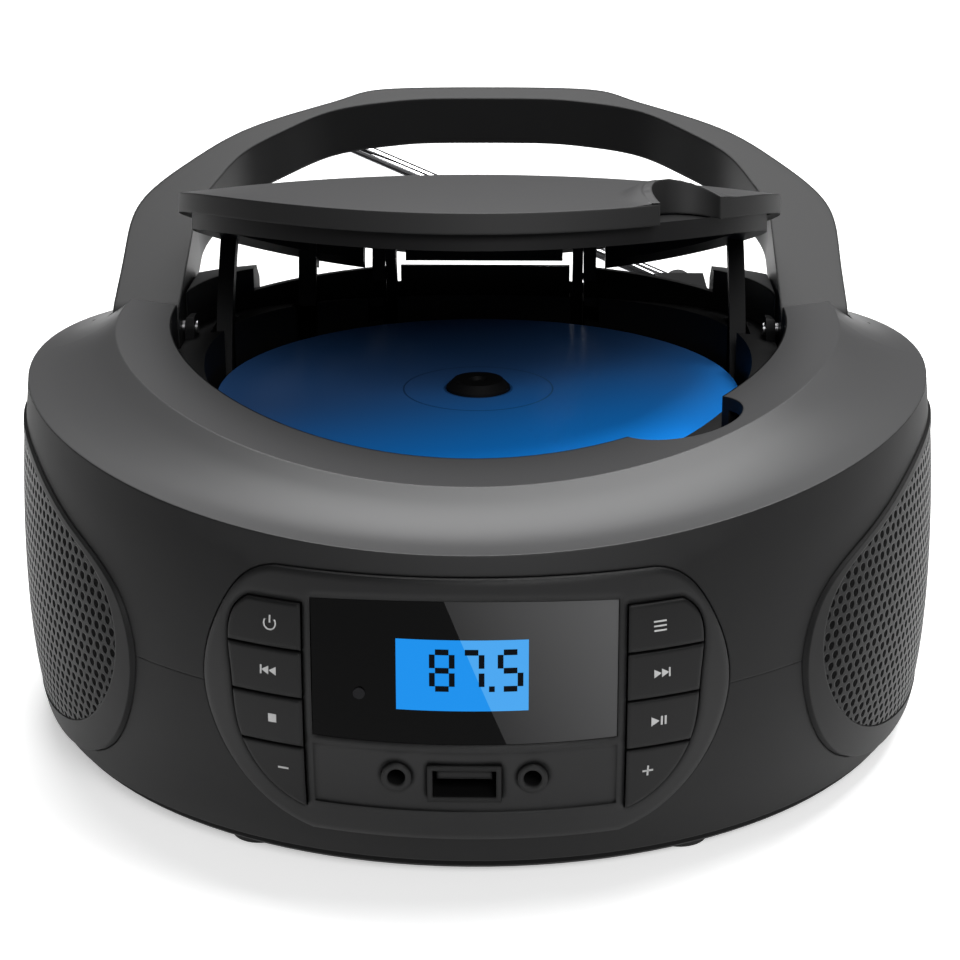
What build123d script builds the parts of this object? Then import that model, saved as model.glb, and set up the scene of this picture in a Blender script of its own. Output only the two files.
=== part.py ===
"""Round tabletop CD radio: separate named pieces, lid open and carry handle folded back.

Millimetres, +Z up, the front panel faces -Y. Azimuths are degrees from the front, + toward +X.
The disc's axis is X = 0, Y = 0 while modelling; every piece is moved by SHIFT_Y when it is saved,
so the origin lies under the middle of the part's bounding box.
"""
from build123d import *
import os
from math import cos, sin, sqrt, radians, pi

os.makedirs("parts", exist_ok=True)

# body
WALL = 2.3
FIT = 0.2                 # gap round a piece set into an opening
DECK_AXIS_Y = -7.0        # centre of the crease circle
FOOT_Z = 4.6
SEAM_Z = 41.0
BELT_Z = 35.0
FOOT_DIMS = (101.0, 103.0, 100.0)     # half width, reach to the front, reach to the rear
BELT_DIMS = (102.5, 111.5, 99.0)
CREASE_R = 100.0
CREASE_SIDE_Z = 81.2
CREASE_FALL = 10.4        # how much lower the crease lies at the front and rear
RIDGE_R = 79.5
RIDGE_REAR_GAIN = 6.0
RIDGE_TOP_Z = 89.8
RIDGE_BEND = 0.00151
SWEEP_SAG = 1.6
FLOOR_T = 2.4
STRIP_R = 100.0
FEET_T = 1.2
FOOT_R = 6.0
FOOT_X = 43.0
FOOT_Y = 82.0

# deck opening and lid
OPEN_Y = 3.0
OPEN_R = 70.0
LID_R = 69.4
LID_T = 2.2
SKIRT = 4.3
CROWN_Z = 92.89
CROWN_Y = 11.3
CROWN_RY = 193.5
CROWN_RX = 535.0
LIP = 9.4
LEDGE_DROP = 9.7
HINGE_Y = 80.0
HINGE_Z = 52.0
LID_OPEN = 19.0           # degrees, the lid's rest pose
ARM_X = 23.9
ARM_T = 2.6
BAY_SHIFT = 4.5           # how far the opening's rear half is set back, for the lid's swing
BAY_BACK = 74.0
STEP_X = 57.2             # the deck steps down behind the lid inside these limits
STEP_Y = 43.5
STEP_Z = 81.0
RIM_T = 1.8
SCOOP_AZ = 41.4           # finger scoop in the lid's edge
SCOOP_R = 9.0
SCOOP_T = 2.0
SCOOP_RISE = 3.2
HINGE_PIN_R = 1.6
RUN = 0.08                # radial gap of a running fit

# disc well
DISC_R = 60.0
DISC_T = 1.2
DISC_TOP_Z = 70.6
WELL_R = 62.5
WELL_FLOOR_Z = 64.0
FLANGE_R = 72.0
TABLE_R = 17.0
SPIGOT_R = 7.3

# handle
HANDLE_LEAN = 65.0
HANDLE_T = 14.0
HANDLE_Y = 10.0
HANDLE_Z = 87.0
LEG_IN_X = 70.0
LEG_OUT_X = 85.5
KNUCKLE_R = 7.0
PIVOT_DEPTH = 7.6
PIVOT_UP = 1.8
HANDLE_PIN_R = 1.5
SLOT_GAP = 0.6

# front panel
PANEL_PROUD = 0.6
PANEL_T = 2.6
WINDOW_X = 29.2
WINDOW_LOW = 34.2
WINDOW_HIGH = 62.8
KEY_IN_X = 30.7
KEY_ROWS = (60.7, 51.2, 41.6, 31.4, 17.6)
KEY_GAP = 0.3
KEY_PROUD = 1.3
BOARD_Y = -97.5
JACK_X = 13.05
JACK_Z = 26.8
JACK_RING_R = 2.9
JACK_R = 1.78
JACK_DEPTH = 12.0
USB_HALF = 6.1
USB_LOW = 23.0
USB_HIGH = 28.6

# speakers
SPEAKER_AZ = 75.0
POD_SEAT = 85.0           # distance of the baffle from the disc axis
DRIVER_R = 28.0
DRIVER_Z = 42.0

# aerial
AERIAL_Y = 101.0
AERIAL_X = 52.0
AERIAL_Z = 69.0
AERIAL_RISE = 23.3        # degrees over level when folded
AERIAL_LEN = 111.0
AERIAL_R = 2.15

STUD_HEAD = 3.4           # reach of the stud's head behind the aerial's middle

# half the difference of the part's reach to the front and to the rear
SHIFT_Y = (BELT_DIMS[1] + PANEL_PROUD - 0.1 - AERIAL_Y - STUD_HEAD) / 2


def save(piece, name):
    """Move a finished piece to the shared frame and write its STEP file."""
    placed = Pos(0, SHIFT_Y, 0) * piece
    placed.label = name
    export_step(placed, f"parts/{name}.step")


def wall_dims(z, crease_z=74.0):
    """Half width, front reach and rear reach of the body outline at a height."""
    crease = (CREASE_R, CREASE_R - DECK_AXIS_Y, CREASE_R + DECK_AXIS_Y)
    if z < BELT_Z:
        share = ((BELT_Z - z) / (BELT_Z - FOOT_Z)) ** 2
        far = FOOT_DIMS
    else:
        share = ((z - BELT_Z) / (crease_z - BELT_Z)) ** 2
        far = crease
    return [near + (end - near) * share for near, end in zip(BELT_DIMS, far)]


def reach(az, dims):
    """Distance from the deck axis to the body outline along an azimuth."""
    half_w, front, rear = dims
    middle = (rear - front) / 2
    depth = (rear + front) / 2
    offset = DECK_AXIS_Y - middle
    a = (sin(radians(az)) / half_w) ** 2 + (cos(radians(az)) / depth) ** 2
    b = -2 * offset * cos(radians(az)) / depth ** 2
    c = (offset / depth) ** 2 - 1
    return (-b + sqrt(b * b - 4 * a * c)) / (2 * a)


def crown(x, y):
    """Height of the lid's crowned top over a point."""
    ring = sqrt(CROWN_RX ** 2 - x * x) + CROWN_RY - CROWN_RX
    return CROWN_Z - CROWN_RY + sqrt(ring ** 2 - (y - CROWN_Y) ** 2)


def rim_reach(az):
    """Distance from the deck axis to the rim of the lid opening."""
    offset = OPEN_Y - DECK_AXIS_Y
    along = offset * cos(radians(az))
    return -along + sqrt(along ** 2 - offset ** 2 + OPEN_R ** 2)


def radial_plane(az):
    """Upright plane through the deck axis, x outward along the azimuth, y up."""
    a = radians(az)
    return Plane(origin=(0, DECK_AXIS_Y, 0), x_dir=(sin(a), -cos(a), 0), z_dir=(-cos(a), -sin(a), 0))


def deck_points(az):
    """Key points of the cabinet's section: seam, mid wall, crease, sweep, ridge and rim."""
    turn = cos(radians(az))
    crease_z = CREASE_SIDE_Z - CREASE_FALL * turn ** 2
    seam = (reach(az, wall_dims(SEAM_Z)), SEAM_Z)
    mid_z = SEAM_Z + 0.55 * (crease_z - SEAM_Z)
    mid = (CREASE_R + (seam[0] - CREASE_R) * (1 - 0.55 ** 2), mid_z)
    crease = (CREASE_R, crease_z)
    ridge_r = RIDGE_R + RIDGE_REAR_GAIN * ((1 - turn) / 2) ** 2
    ridge_y = DECK_AXIS_Y - ridge_r * turn
    ridge = (ridge_r, RIDGE_TOP_Z - RIDGE_BEND * (ridge_y - 5) ** 2)
    sweep = ((crease[0] + ridge[0]) / 2, (crease[1] + ridge[1]) / 2 - SWEEP_SAG)
    rim_r = rim_reach(az)
    rim = (rim_r, crown(rim_r * sin(radians(az)), DECK_AXIS_Y - rim_r * turn))
    return seam, mid, crease, sweep, ridge, rim


def moved_by(point, dx, dz):
    return (point[0] + dx, point[1] + dz)


FRONT_AZ = range(-90, 91, 15)
REAR_AZ = range(90, 271, 15)

# crowned form under the lid's top surface, turned about a low cross axis
with BuildPart() as crown_form:
    tilt = radians(38)
    crown_plane = Plane(origin=(0, CROWN_Y, CROWN_Z - CROWN_RY), x_dir=(1, 0, 0),
                        z_dir=(0, -cos(tilt), -sin(tilt)))
    with BuildSketch(crown_plane):
        with BuildLine():
            edge_r = sqrt(CROWN_RX ** 2 - 92 ** 2) + CROWN_RY - CROWN_RX
            ThreePointArc((-92, edge_r), (0, CROWN_RY), (92, edge_r))
            Polyline((92, edge_r), (92, 118), (-92, 118), (-92, edge_r))
        make_face()
    revolve(axis=Axis((0, CROWN_Y, CROWN_Z - CROWN_RY), (-1, 0, 0)), revolution_arc=76)

# upper cabinet: one shell section carried round the deck axis
with BuildPart() as shell_front:
    for az in FRONT_AZ:
        seam, mid, crease, sweep, ridge, rim = deck_points(az)
        with BuildSketch(radial_plane(az)):
            with BuildLine():
                Spline(seam, mid, crease)
                Spline(crease, sweep, ridge)
                Polyline(ridge, rim, moved_by(rim, 0, -LIP), moved_by(rim, 2.2, -LIP))
                Polyline(moved_by(rim, 2.2, -LIP), moved_by(rim, 2.2, -2.6), moved_by(ridge, 0, -2.6))
                Spline(moved_by(ridge, 0, -2.6), moved_by(sweep, 0, -2.6), moved_by(crease, -2.6, -2.6))
                Spline(moved_by(crease, -2.6, -2.6), moved_by(mid, -WALL, 0), moved_by(seam, -WALL, 0))
                Line(moved_by(seam, -WALL, 0), seam)
            make_face()
    loft()

with BuildPart() as shell_rear:
    for az in REAR_AZ:
        seam, mid, crease, sweep, ridge, rim = deck_points(az)
        with BuildSketch(radial_plane(az)):
            with BuildLine():
                Spline(seam, mid, crease)
                Spline(crease, sweep, ridge)
                Polyline(ridge, rim, moved_by(rim, 0, -LIP), moved_by(rim, 2.2, -LIP))
                Polyline(moved_by(rim, 2.2, -LIP), moved_by(rim, 2.2, -2.6), moved_by(ridge, 0, -2.6))
                Spline(moved_by(ridge, 0, -2.6), moved_by(sweep, 0, -2.6), moved_by(crease, -2.6, -2.6))
                Spline(moved_by(crease, -2.6, -2.6), moved_by(mid, -WALL, 0), moved_by(seam, -WALL, 0))
                Line(moved_by(seam, -WALL, 0), seam)
            make_face()
    loft()


def speaker_points(side, grow, crescent=0.0):
    """Grille outline seen along the speaker's azimuth, grown; the crescent adds to its low front."""
    base = ((61.5, 42), (58, 57), (40, 65.5), (9, 70.5), (-20, 68.5), (-43, 61.5), (-59, 52.5),
            (-62, 41), (-52, 23), (-30, 13), (0, 10), (30, 12.5), (52, 24))
    points = []
    for u, z in base:
        size = sqrt(u * u + (z - DRIVER_Z) ** 2)
        low_front = (-0.82 * u - 0.57 * (z - DRIVER_Z)) / size
        gain = 1 + (grow + crescent * max(0.0, low_front) ** 6) / size
        points.append((u * gain if side > 0 else -u * gain, DRIVER_Z + (z - DRIVER_Z) * gain))
    return points


def speaker_plane(side, distance):
    """Plane square to the speaker's azimuth; side is -1 left or 1 right."""
    a = radians(SPEAKER_AZ)
    normal = (side * sin(a), -cos(a), 0)
    return Plane(origin=(normal[0] * distance, normal[1] * distance, 0),
                 x_dir=(cos(a), side * sin(a), 0), z_dir=normal)


def skin(grow, low, high, crease_z=74.0):
    """Solid of the body outline, grown outward, between two heights."""
    with BuildPart(mode=Mode.PRIVATE) as form:
        for step in range(5):
            z = low + (high - low) * step / 4
            half_w, front, rear = wall_dims(z, crease_z)
            with BuildSketch(Plane.XY.offset(z)):
                with Locations((0, (rear - front) / 2)):
                    Ellipse(half_w + grow, (rear + front) / 2 + grow)
        loft()
    return form.part


SHIELD = ((36.0, 66.8), (42.2, 64.0), (46.6, 58.0), (50.9, 42.0), (49.2, 33.0),
          (44.8, 24.0), (38.0, 16.4), (30.0, 11.8))


def shield_cut(grow):
    """Front panel outline run through the front wall."""
    with BuildPart(mode=Mode.PRIVATE) as form:
        with BuildSketch(Plane.XZ):
            with BuildLine():
                top_z = SHIELD[0][1] + grow
                low_z = SHIELD[-1][1] - grow
                for side in (1, -1):
                    curve = [(side * SHIELD[0][0], top_z)]
                    for x, z in SHIELD[1:-1]:
                        lift = grow * (z - 42) / 30
                        curve.append((side * (x + grow), z + lift))
                    curve.append((side * SHIELD[-1][0], low_z))
                    Spline(curve)
                Line((-SHIELD[0][0], top_z), (SHIELD[0][0], top_z))
                Line((-SHIELD[-1][0], low_z), (SHIELD[-1][0], low_z))
            make_face()
        extrude(amount=120)
    return form.part


def speaker_prism(side, start, grow, crescent=0.0):
    """Grille outline run outward through the side wall."""
    with BuildPart(mode=Mode.PRIVATE) as form:
        with BuildSketch(speaker_plane(side, start)):
            with BuildLine():
                Spline(speaker_points(side, grow, crescent), periodic=True)
            make_face()
        extrude(amount=120 - start)
    return form.part


def block(x, y, z):
    """Box between two corners given as (low, high) pairs."""
    size = [pair[1] - pair[0] for pair in (x, y, z)]
    return Pos(x[0], y[0], z[0]) * Box(*size, align=(Align.MIN, Align.MIN, Align.MIN), mode=Mode.PRIVATE)


def rod(centre, radius, length, axis="Z"):
    """Cylinder from a start point along an axis."""
    turn = {"Z": (0, 0, 0), "X": (0, 90, 0), "Y": (-90, 0, 0)}[axis]
    standing = Cylinder(radius, length, align=(Align.CENTER, Align.CENTER, Align.MIN), mode=Mode.PRIVATE)
    return Pos(*centre) * Rot(*turn) * standing


def round_open(radius, low, high):
    """Cylinder about the centre of the lid opening."""
    return rod((0, OPEN_Y, low), radius, high - low)


def bay_open(radius, low, high):
    """Form of the lid opening: round in front, its rear half set back and cut straight."""
    with BuildPart(mode=Mode.PRIVATE) as form:
        with BuildSketch(Plane.XY.offset(low)):
            with Locations((0, OPEN_Y + BAY_SHIFT / 2)):
                SlotCenterToCenter(BAY_SHIFT, 2 * radius, rotation=90)
            with Locations((0, BAY_BACK + radius - OPEN_R - 100)):
                Rectangle(200, 200, mode=Mode.INTERSECT)
        extrude(amount=high - low)
    return form.part


def under_crown(drop):
    """Crowned form lowered by a drop."""
    return Pos(0, 0, -drop) * crown_form.part


# forms shared by several pieces
fill_low = skin(0, FOOT_Z, SEAM_Z)
fill_low_inner = skin(-WALL, FOOT_Z + FLOOR_T, SEAM_Z)
skin_proud = skin(PANEL_PROUD, 6, 72)
skin_flat = skin(0, 6, 72)
skin_back = skin(PANEL_PROUD - PANEL_T, 5, 73)
skin_key = skin(KEY_PROUD, 6, 72)
panel_cut = shield_cut(FIT)
pod_ring = {}
for side in (-1, 1):
    pod_ring[side] = speaker_prism(side, 72, 2.0 + FIT, 6.0)

# lower cabinet: floor, wall, board posts, and the openings of the panel, pods and inlet
INLET_X = -30.0
INLET_W = 21.0
INLET_LOW = 16.0
INLET_H = 12.0
INLET_PITCH = 8.6
BOARD_Z = 12.0
BOARD_X = 52.0
BOARD_YS = (-30.0, 40.0)
POST_R = 3.0
with BuildPart() as lower_cabinet:
    add(fill_low)
    add(fill_low_inner, mode=Mode.SUBTRACT)
    add(panel_cut, mode=Mode.SUBTRACT)
    for side in (-1, 1):
        add(pod_ring[side], mode=Mode.SUBTRACT)
    add(block((INLET_X - INLET_W / 2 - FIT, INLET_X + INLET_W / 2 + FIT), (70, 110),
              (INLET_LOW - FIT, INLET_LOW + INLET_H + FIT)), mode=Mode.SUBTRACT)
    for x in (-BOARD_X + 5, BOARD_X - 5):
        for y in (BOARD_YS[0] + 5, BOARD_YS[1] - 5):
            add(rod((x, y, FOOT_Z + FLOOR_T - 0.5), POST_R, BOARD_Z - FOOT_Z - FLOOR_T + 0.5))

# filled deck form ending inside the shell's wall, for the handle pockets and the recess behind the lid
with BuildPart() as deck_fill:
    for azimuths in (FRONT_AZ, REAR_AZ):
        for az in azimuths:
            points = deck_points(az)
            walls = [moved_by(p, -WALL / 2, 0) for p in points[:2]]
            tops = [moved_by(p, 0, -1.2) for p in points[3:]]
            crease = moved_by(points[2], -1.2, -1.2)
            with BuildSketch(radial_plane(az)):
                with BuildLine():
                    Spline(walls[0], walls[1], crease)
                    Spline(crease, tops[0], tops[1])
                    Polyline(tops[1], tops[2], (48, tops[2][1]), (48, SEAM_Z), walls[0])
                make_face()
        loft()

handle_pivot = (HANDLE_Y + PIVOT_UP * sin(radians(HANDLE_LEAN)) + PIVOT_DEPTH * cos(radians(HANDLE_LEAN)),
                HANDLE_Z + PIVOT_UP * cos(radians(HANDLE_LEAN)) - PIVOT_DEPTH * sin(radians(HANDLE_LEAN)))
SLOT_IN_X = LEG_IN_X - SLOT_GAP
SLOT_OUT_X = LEG_OUT_X + SLOT_GAP
SLOT_Y = (6.6, 42.0)
POCKET_Z = 72.0
RECESS_X = 66.0
RECESS_Y = 60.0
RECESS_Z = 75.5
NOTCH_AZ = 38.0
NOTCH_R = 13.0
EAR_Z = RECESS_Z - 1.2


def pocket_face(side, grow):
    """Handle slot outline, its outer rear corner cut to stay inside the crease."""
    x_in, x_out = side * (SLOT_IN_X if grow else SLOT_IN_X), side * (SLOT_OUT_X + grow)
    y_low, y_high = SLOT_Y[0] - grow, SLOT_Y[1] + grow
    corner = side * 7.0
    return Polyline((x_in, y_low), (x_out, y_low), (x_out, y_high - 6), (x_out - corner, y_high),
                    (x_in, y_high), (x_in, y_low))


with BuildPart() as pocket_form:
    for side in (-1, 1):
        with BuildSketch(Plane.XY.offset(POCKET_Z - 2.0)):
            with BuildLine():
                pocket_face(side, 2.0)
            make_face()
    extrude(amount=25)
with BuildPart() as slot_form:
    for side in (-1, 1):
        with BuildSketch(Plane.XY.offset(POCKET_Z)):
            with BuildLine():
                pocket_face(side, 0)
            make_face()
    extrude(amount=25)

# two ears under the recess carry each lid hinge pin
with BuildPart() as ears:
    for side in (-1, 1):
        for x in (ARM_X - ARM_T / 2 - 3.2, ARM_X + ARM_T / 2 + 0.4):
            start = side * x if side > 0 else -x - 2.8
            with BuildSketch(Plane(origin=(start, 0, 0), x_dir=(0, 1, 0), z_dir=(1, 0, 0))):
                with Locations((HINGE_Y, HINGE_Z)):
                    Circle(3.4)
                with BuildLine():
                    Polyline((HINGE_Y - 6, EAR_Z), (HINGE_Y + 3, EAR_Z), (HINGE_Y + 3.4, HINGE_Z),
                             (HINGE_Y - 3.4, HINGE_Z), (HINGE_Y - 6, EAR_Z))
                make_face()
                with Locations((HINGE_Y, HINGE_Z)):
                    Circle(HINGE_PIN_R, mode=Mode.SUBTRACT)
            extrude(amount=2.8)

REAR_END = STEP_Y + 4.3   # where the rear wall meets the step's sides
with BuildPart() as upper_cabinet:
    add(shell_front.part)
    add(shell_rear.part)
    add(pocket_form.part & deck_fill.part)
    add(block((-RECESS_X - 2, RECESS_X + 2), (RECESS_Y - 2, 98), (RECESS_Z - 2.2, 96)) & deck_fill.part)
    add(block((-STEP_X - 2, STEP_X + 2), (STEP_Y - 2, RECESS_Y), (RECESS_Z - 2.2, 96)) & deck_fill.part)
    # lip of the opening's rear half
    lip_ring = bay_open(OPEN_R + 2.2, 60, 98) - bay_open(OPEN_R - 1, 59, 99)
    lip_ring = (lip_ring & under_crown(1.0)) - under_crown(LIP)
    add(lip_ring & block((-90, 90), (OPEN_Y + BAY_SHIFT, REAR_END + 2), (60, 98)))
    add(slot_form.part, mode=Mode.SUBTRACT)
    add(block((-RECESS_X, RECESS_X), (RECESS_Y, 100), (RECESS_Z, 96)), mode=Mode.SUBTRACT)
    add(block((-STEP_X, STEP_X), (STEP_Y, RECESS_Y + 1), (RECESS_Z, 96)), mode=Mode.SUBTRACT)
    add((bay_open(OPEN_R + RIM_T, RECESS_Z - 1, STEP_Z) - bay_open(OPEN_R - 1, 60, 98))
        & block((-STEP_X - 1, STEP_X + 1), (STEP_Y, 90), (60, 98)))
    add((bay_open(OPEN_R + 2.2, 60, 98) & under_crown(LIP + 0.25)) & block((-90, 90), (-90, REAR_END), (50, 98)),
        mode=Mode.SUBTRACT)
    add(bay_open(OPEN_R, 60, 98), mode=Mode.SUBTRACT)
    add(ears.part)
    add(rod((-LEG_OUT_X - 6, handle_pivot[0], handle_pivot[1]), HANDLE_PIN_R, 2 * LEG_OUT_X + 12, "X"),
        mode=Mode.SUBTRACT)
    for side in (-1, 1):
        x_low = side * ARM_X - ARM_T / 2 - 0.6
        add(block((x_low, x_low + ARM_T + 1.2), (50, HINGE_Y + 4), (RECESS_Z - 4, 96)), mode=Mode.SUBTRACT)
    add(panel_cut, mode=Mode.SUBTRACT)
    for side in (-1, 1):
        add(pod_ring[side], mode=Mode.SUBTRACT)
    # finger notch in the front right of the rim
    notch = (OPEN_R * sin(radians(NOTCH_AZ)), OPEN_Y - OPEN_R * cos(radians(NOTCH_AZ)), 77.5)
    add(rod((notch[0], notch[1], notch[2] - 4), NOTCH_R, 20), mode=Mode.SUBTRACT)

# base strip and feet
with BuildPart() as base_plate:
    add(rod((0, 0, FEET_T), STRIP_R, FOOT_Z - FEET_T))
    chamfer(base_plate.edges().group_by(Axis.Z)[0], 0.8)
with BuildPart() as feet:
    for x in (-FOOT_X, FOOT_X):
        for y in (-FOOT_Y, FOOT_Y):
            add(rod((x, y, 0), FOOT_R, FEET_T))

# disc well: floor, wall, ledge under the rim, and the wall that carries each handle pin
PIN_WALL_X = 67.0
PIN_WALL_T = 2.2
GUIDE_R = (60.0, 64.0)
GUIDE_X = (59.4, 63.2)
POST_X = (-46.6, -42.2)    # prop that hangs from the lid on the left
HOOK_X = (25.3, 28.5)
with BuildPart() as cd_well:
    add(bay_open(FLANGE_R, WELL_FLOOR_Z - 2, 98) & under_crown(LEDGE_DROP)
        & block((-90, 90), (-90, REAR_END - 0.5), (50, 98)))
    add(bay_open(OPEN_R - 0.3, WELL_FLOOR_Z - 2, 98) & under_crown(LEDGE_DROP)
        & block((-90, 90), (STEP_Y - 2, 90), (50, 98)))
    add(rod((0, 0, WELL_FLOOR_Z), WELL_R, 40), mode=Mode.SUBTRACT)
    hollow = bay_open(FLANGE_R - 4, 55, 98) & under_crown(LEDGE_DROP + 2.2)
    add(hollow - rod((0, 0, 50), WELL_R + WALL, 50), mode=Mode.SUBTRACT)
    add(block((POST_X[0] - 0.8, POST_X[1] + 0.8), (42, 62), (WELL_FLOOR_Z + 0.5, 98)), mode=Mode.SUBTRACT)
    for side in (-1, 1):
        hook_way = sorted((side * (HOOK_X[0] - 1.2), side * (HOOK_X[1] + 0.8)))
        add(block(hook_way, (50, 61), (WELL_FLOOR_Z + 7, 98)), mode=Mode.SUBTRACT)
    for side in (-1, 1):
        # flat side wall beside the handle slot, its boss holding the pin
        x_low = PIN_WALL_X if side > 0 else -PIN_WALL_X - PIN_WALL_T
        away = SLOT_IN_X - FIT
        out = (away, 90) if side > 0 else (-90, -away)
        add(block(out, (SLOT_Y[0] - 2.2, SLOT_Y[1] + 2.2), (50, 98)), mode=Mode.SUBTRACT)
        add(block((x_low, x_low + PIN_WALL_T), (SLOT_Y[0] - 0.6, 23), (72, 78)) & round_open(OPEN_R - 0.3, 60, 90))
        boss = rod((x_low, handle_pivot[0], handle_pivot[1]), 3.4, PIN_WALL_T, "X")
        stem = block((x_low, x_low + PIN_WALL_T), (handle_pivot[0] - 3.4, handle_pivot[0] + 3.4),
                     (72, handle_pivot[1]))
        add((boss + stem) & under_crown(SKIRT + 0.5) & round_open(OPEN_R - 0.3, 60, 90))
        add(rod((side * (PIN_WALL_X - 2) if side > 0 else -PIN_WALL_X - 4, handle_pivot[0], handle_pivot[1]),
                HANDLE_PIN_R, 6, "X"), mode=Mode.SUBTRACT)
        # ways for the lid's guide arms and hinge arms
        guide = (GUIDE_X[0] - 0.6, GUIDE_X[1] + 0.6) if side > 0 else (-GUIDE_X[1] - 0.6, -GUIDE_X[0] + 0.6)
        add(block(guide, (15.6, 31.4), (50, 98)), mode=Mode.SUBTRACT)
        x_low = side * ARM_X - ARM_T / 2 - 0.6
        add(block((x_low, x_low + ARM_T + 1.2), (51, 90), (50, 98)), mode=Mode.SUBTRACT)
    # turntable hole and pickup slot
    add(rod((0, 0, 50), TABLE_R + 2.5, 30), mode=Mode.SUBTRACT)
    add(block((-13, 13), (-WELL_R + 0.1, 0), (50, 70)), mode=Mode.SUBTRACT)

# disc, turntable, motor
HUB_T = 2.2
MOTOR_R = 11.0
MOTOR_TOP = 65.6
CHASSIS_Z = 57.0
CHASSIS_T = 2.0
disc_low = DISC_TOP_Z - DISC_T
with BuildPart() as disc:
    add(rod((0, 0, disc_low), DISC_R, DISC_T))
    add(rod((0, 0, disc_low - 1), SPIGOT_R + 0.2, DISC_T + 2), mode=Mode.SUBTRACT)
with BuildPart() as spindle_hub:
    with BuildSketch(Plane.XZ):
        with BuildLine():
            Polyline((0, CHASSIS_Z + CHASSIS_T + 2), (1, CHASSIS_Z + CHASSIS_T + 2), (1, disc_low - HUB_T),
                     (TABLE_R, disc_low - HUB_T), (TABLE_R, disc_low), (SPIGOT_R, disc_low),
                     (SPIGOT_R, DISC_TOP_Z + 0.6), (SPIGOT_R - 1.6, DISC_TOP_Z + 2.2), (2.2, DISC_TOP_Z + 2.2),
                     (1.6, DISC_TOP_Z + 1.4), (0, DISC_TOP_Z + 1.4), (0, CHASSIS_Z + CHASSIS_T + 2))
        make_face()
    revolve(axis=Axis.Z)
with BuildPart() as spindle_motor:
    add(rod((0, 0, CHASSIS_Z + CHASSIS_T), MOTOR_R, MOTOR_TOP - CHASSIS_Z - CHASSIS_T))
    add(rod((0, 0, CHASSIS_Z + CHASSIS_T + 1), 1 + RUN, 20), mode=Mode.SUBTRACT)

# pickup sledge on two rails, on a chassis hung under the well floor
RAIL_X = 9.5
RAIL_R = 1.25
RAIL_Z = 62.0
RAIL_ENDS = (-60.0, -13.0)
SLEDGE_Y = -24.0
SLEDGE_L = 11.0
SLEDGE_W = 24.0
SLEDGE_TRAVEL = 24.0
with BuildPart() as deck_chassis:
    add(block((-34, 34), (-62, 34), (CHASSIS_Z, CHASSIS_Z + CHASSIS_T)) & rod((0, 0, 50), WELL_R + 1, 20))
    for y in (RAIL_ENDS[0] - 2, RAIL_ENDS[1] - 2):
        for x in (-RAIL_X, RAIL_X):
            add(block((x - 2.5, x + 2.5), (y, y + 4), (CHASSIS_Z + 1, RAIL_Z + 1.9))
                - rod((0, 0, 50), MOTOR_R + 0.5, 30))
            add(rod((x, y - 1, RAIL_Z), RAIL_R, 6, "Y"), mode=Mode.SUBTRACT)
    for x in (-28, 28):
        for y in (-36, 28):
            add(rod((x, y, CHASSIS_Z + 1), 3, WELL_FLOOR_Z - 2 - CHASSIS_Z - 1))
with BuildPart() as pickup_rails:
    for x in (-RAIL_X, RAIL_X):
        add(rod((x, RAIL_ENDS[0] - 2, RAIL_Z), RAIL_R, RAIL_ENDS[1] - RAIL_ENDS[0] + 4, "Y"))
with BuildPart() as optical_pickup:
    add(block((-SLEDGE_W / 2, SLEDGE_W / 2), (SLEDGE_Y - SLEDGE_L / 2, SLEDGE_Y + SLEDGE_L / 2),
              (RAIL_Z - 1.8, RAIL_Z + 2.6)))
    for x in (-RAIL_X, RAIL_X):
        add(rod((x, SLEDGE_Y - 10, RAIL_Z), RAIL_R + RUN, 20, "Y"), mode=Mode.SUBTRACT)
    add(rod((0, SLEDGE_Y, RAIL_Z + 2), 2.8, 3.4))

# lid, modelled shut and then swung open about its hinge
open_lid = Pos(0, HINGE_Y, HINGE_Z) * Rot(-LID_OPEN, 0, 0) * Pos(0, -HINGE_Y, -HINGE_Z)
FRAME_OUT_R = 66.4
FRAME_IN_R = 61.0
FRAME_DROP = 8.6
RIB_Y = (51.6, 54.0)      # rib and hooks across the lid's rear, lid shut
RIB_X = 20.0
HOOK_TIP_Z = 72.7
POST_TIP = (45.0, 48.0, 65.6)
REAR_CLEAR = 31.0
scoop_x = OPEN_R * sin(radians(SCOOP_AZ))
scoop_y = OPEN_Y - OPEN_R * cos(radians(SCOOP_AZ))
with BuildPart() as lid_shut:
    add(round_open(LID_R, 60, 98) & under_crown(0))
    # raised hood round the finger scoop, its top a shallow dome
    inward = (SCOOP_R + SCOOP_T) / OPEN_R
    dome_x, dome_y = scoop_x * (1 - inward), scoop_y + (OPEN_Y - scoop_y) * inward
    dome = Pos(dome_x, dome_y, crown(dome_x, dome_y) + SCOOP_RISE - 45) * Sphere(45, mode=Mode.PRIVATE)
    add(rod((scoop_x, scoop_y, 80), SCOOP_R + SCOOP_T, 30) & round_open(LID_R, 60, 98) & dome)
    add(under_crown(SKIRT), mode=Mode.SUBTRACT)
    inner = (round_open(LID_R - LID_T, 60, 98) & under_crown(LID_T)) - rod((scoop_x, scoop_y, 50), SCOOP_R + SCOOP_T, 60)
    add(inner, mode=Mode.SUBTRACT)
    add(rod((scoop_x, scoop_y, 50), SCOOP_R, 60), mode=Mode.SUBTRACT)
    add(block((-STEP_X, STEP_X), (STEP_Y, 90), (50, 98)) & under_crown(LID_T), mode=Mode.SUBTRACT)
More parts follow.
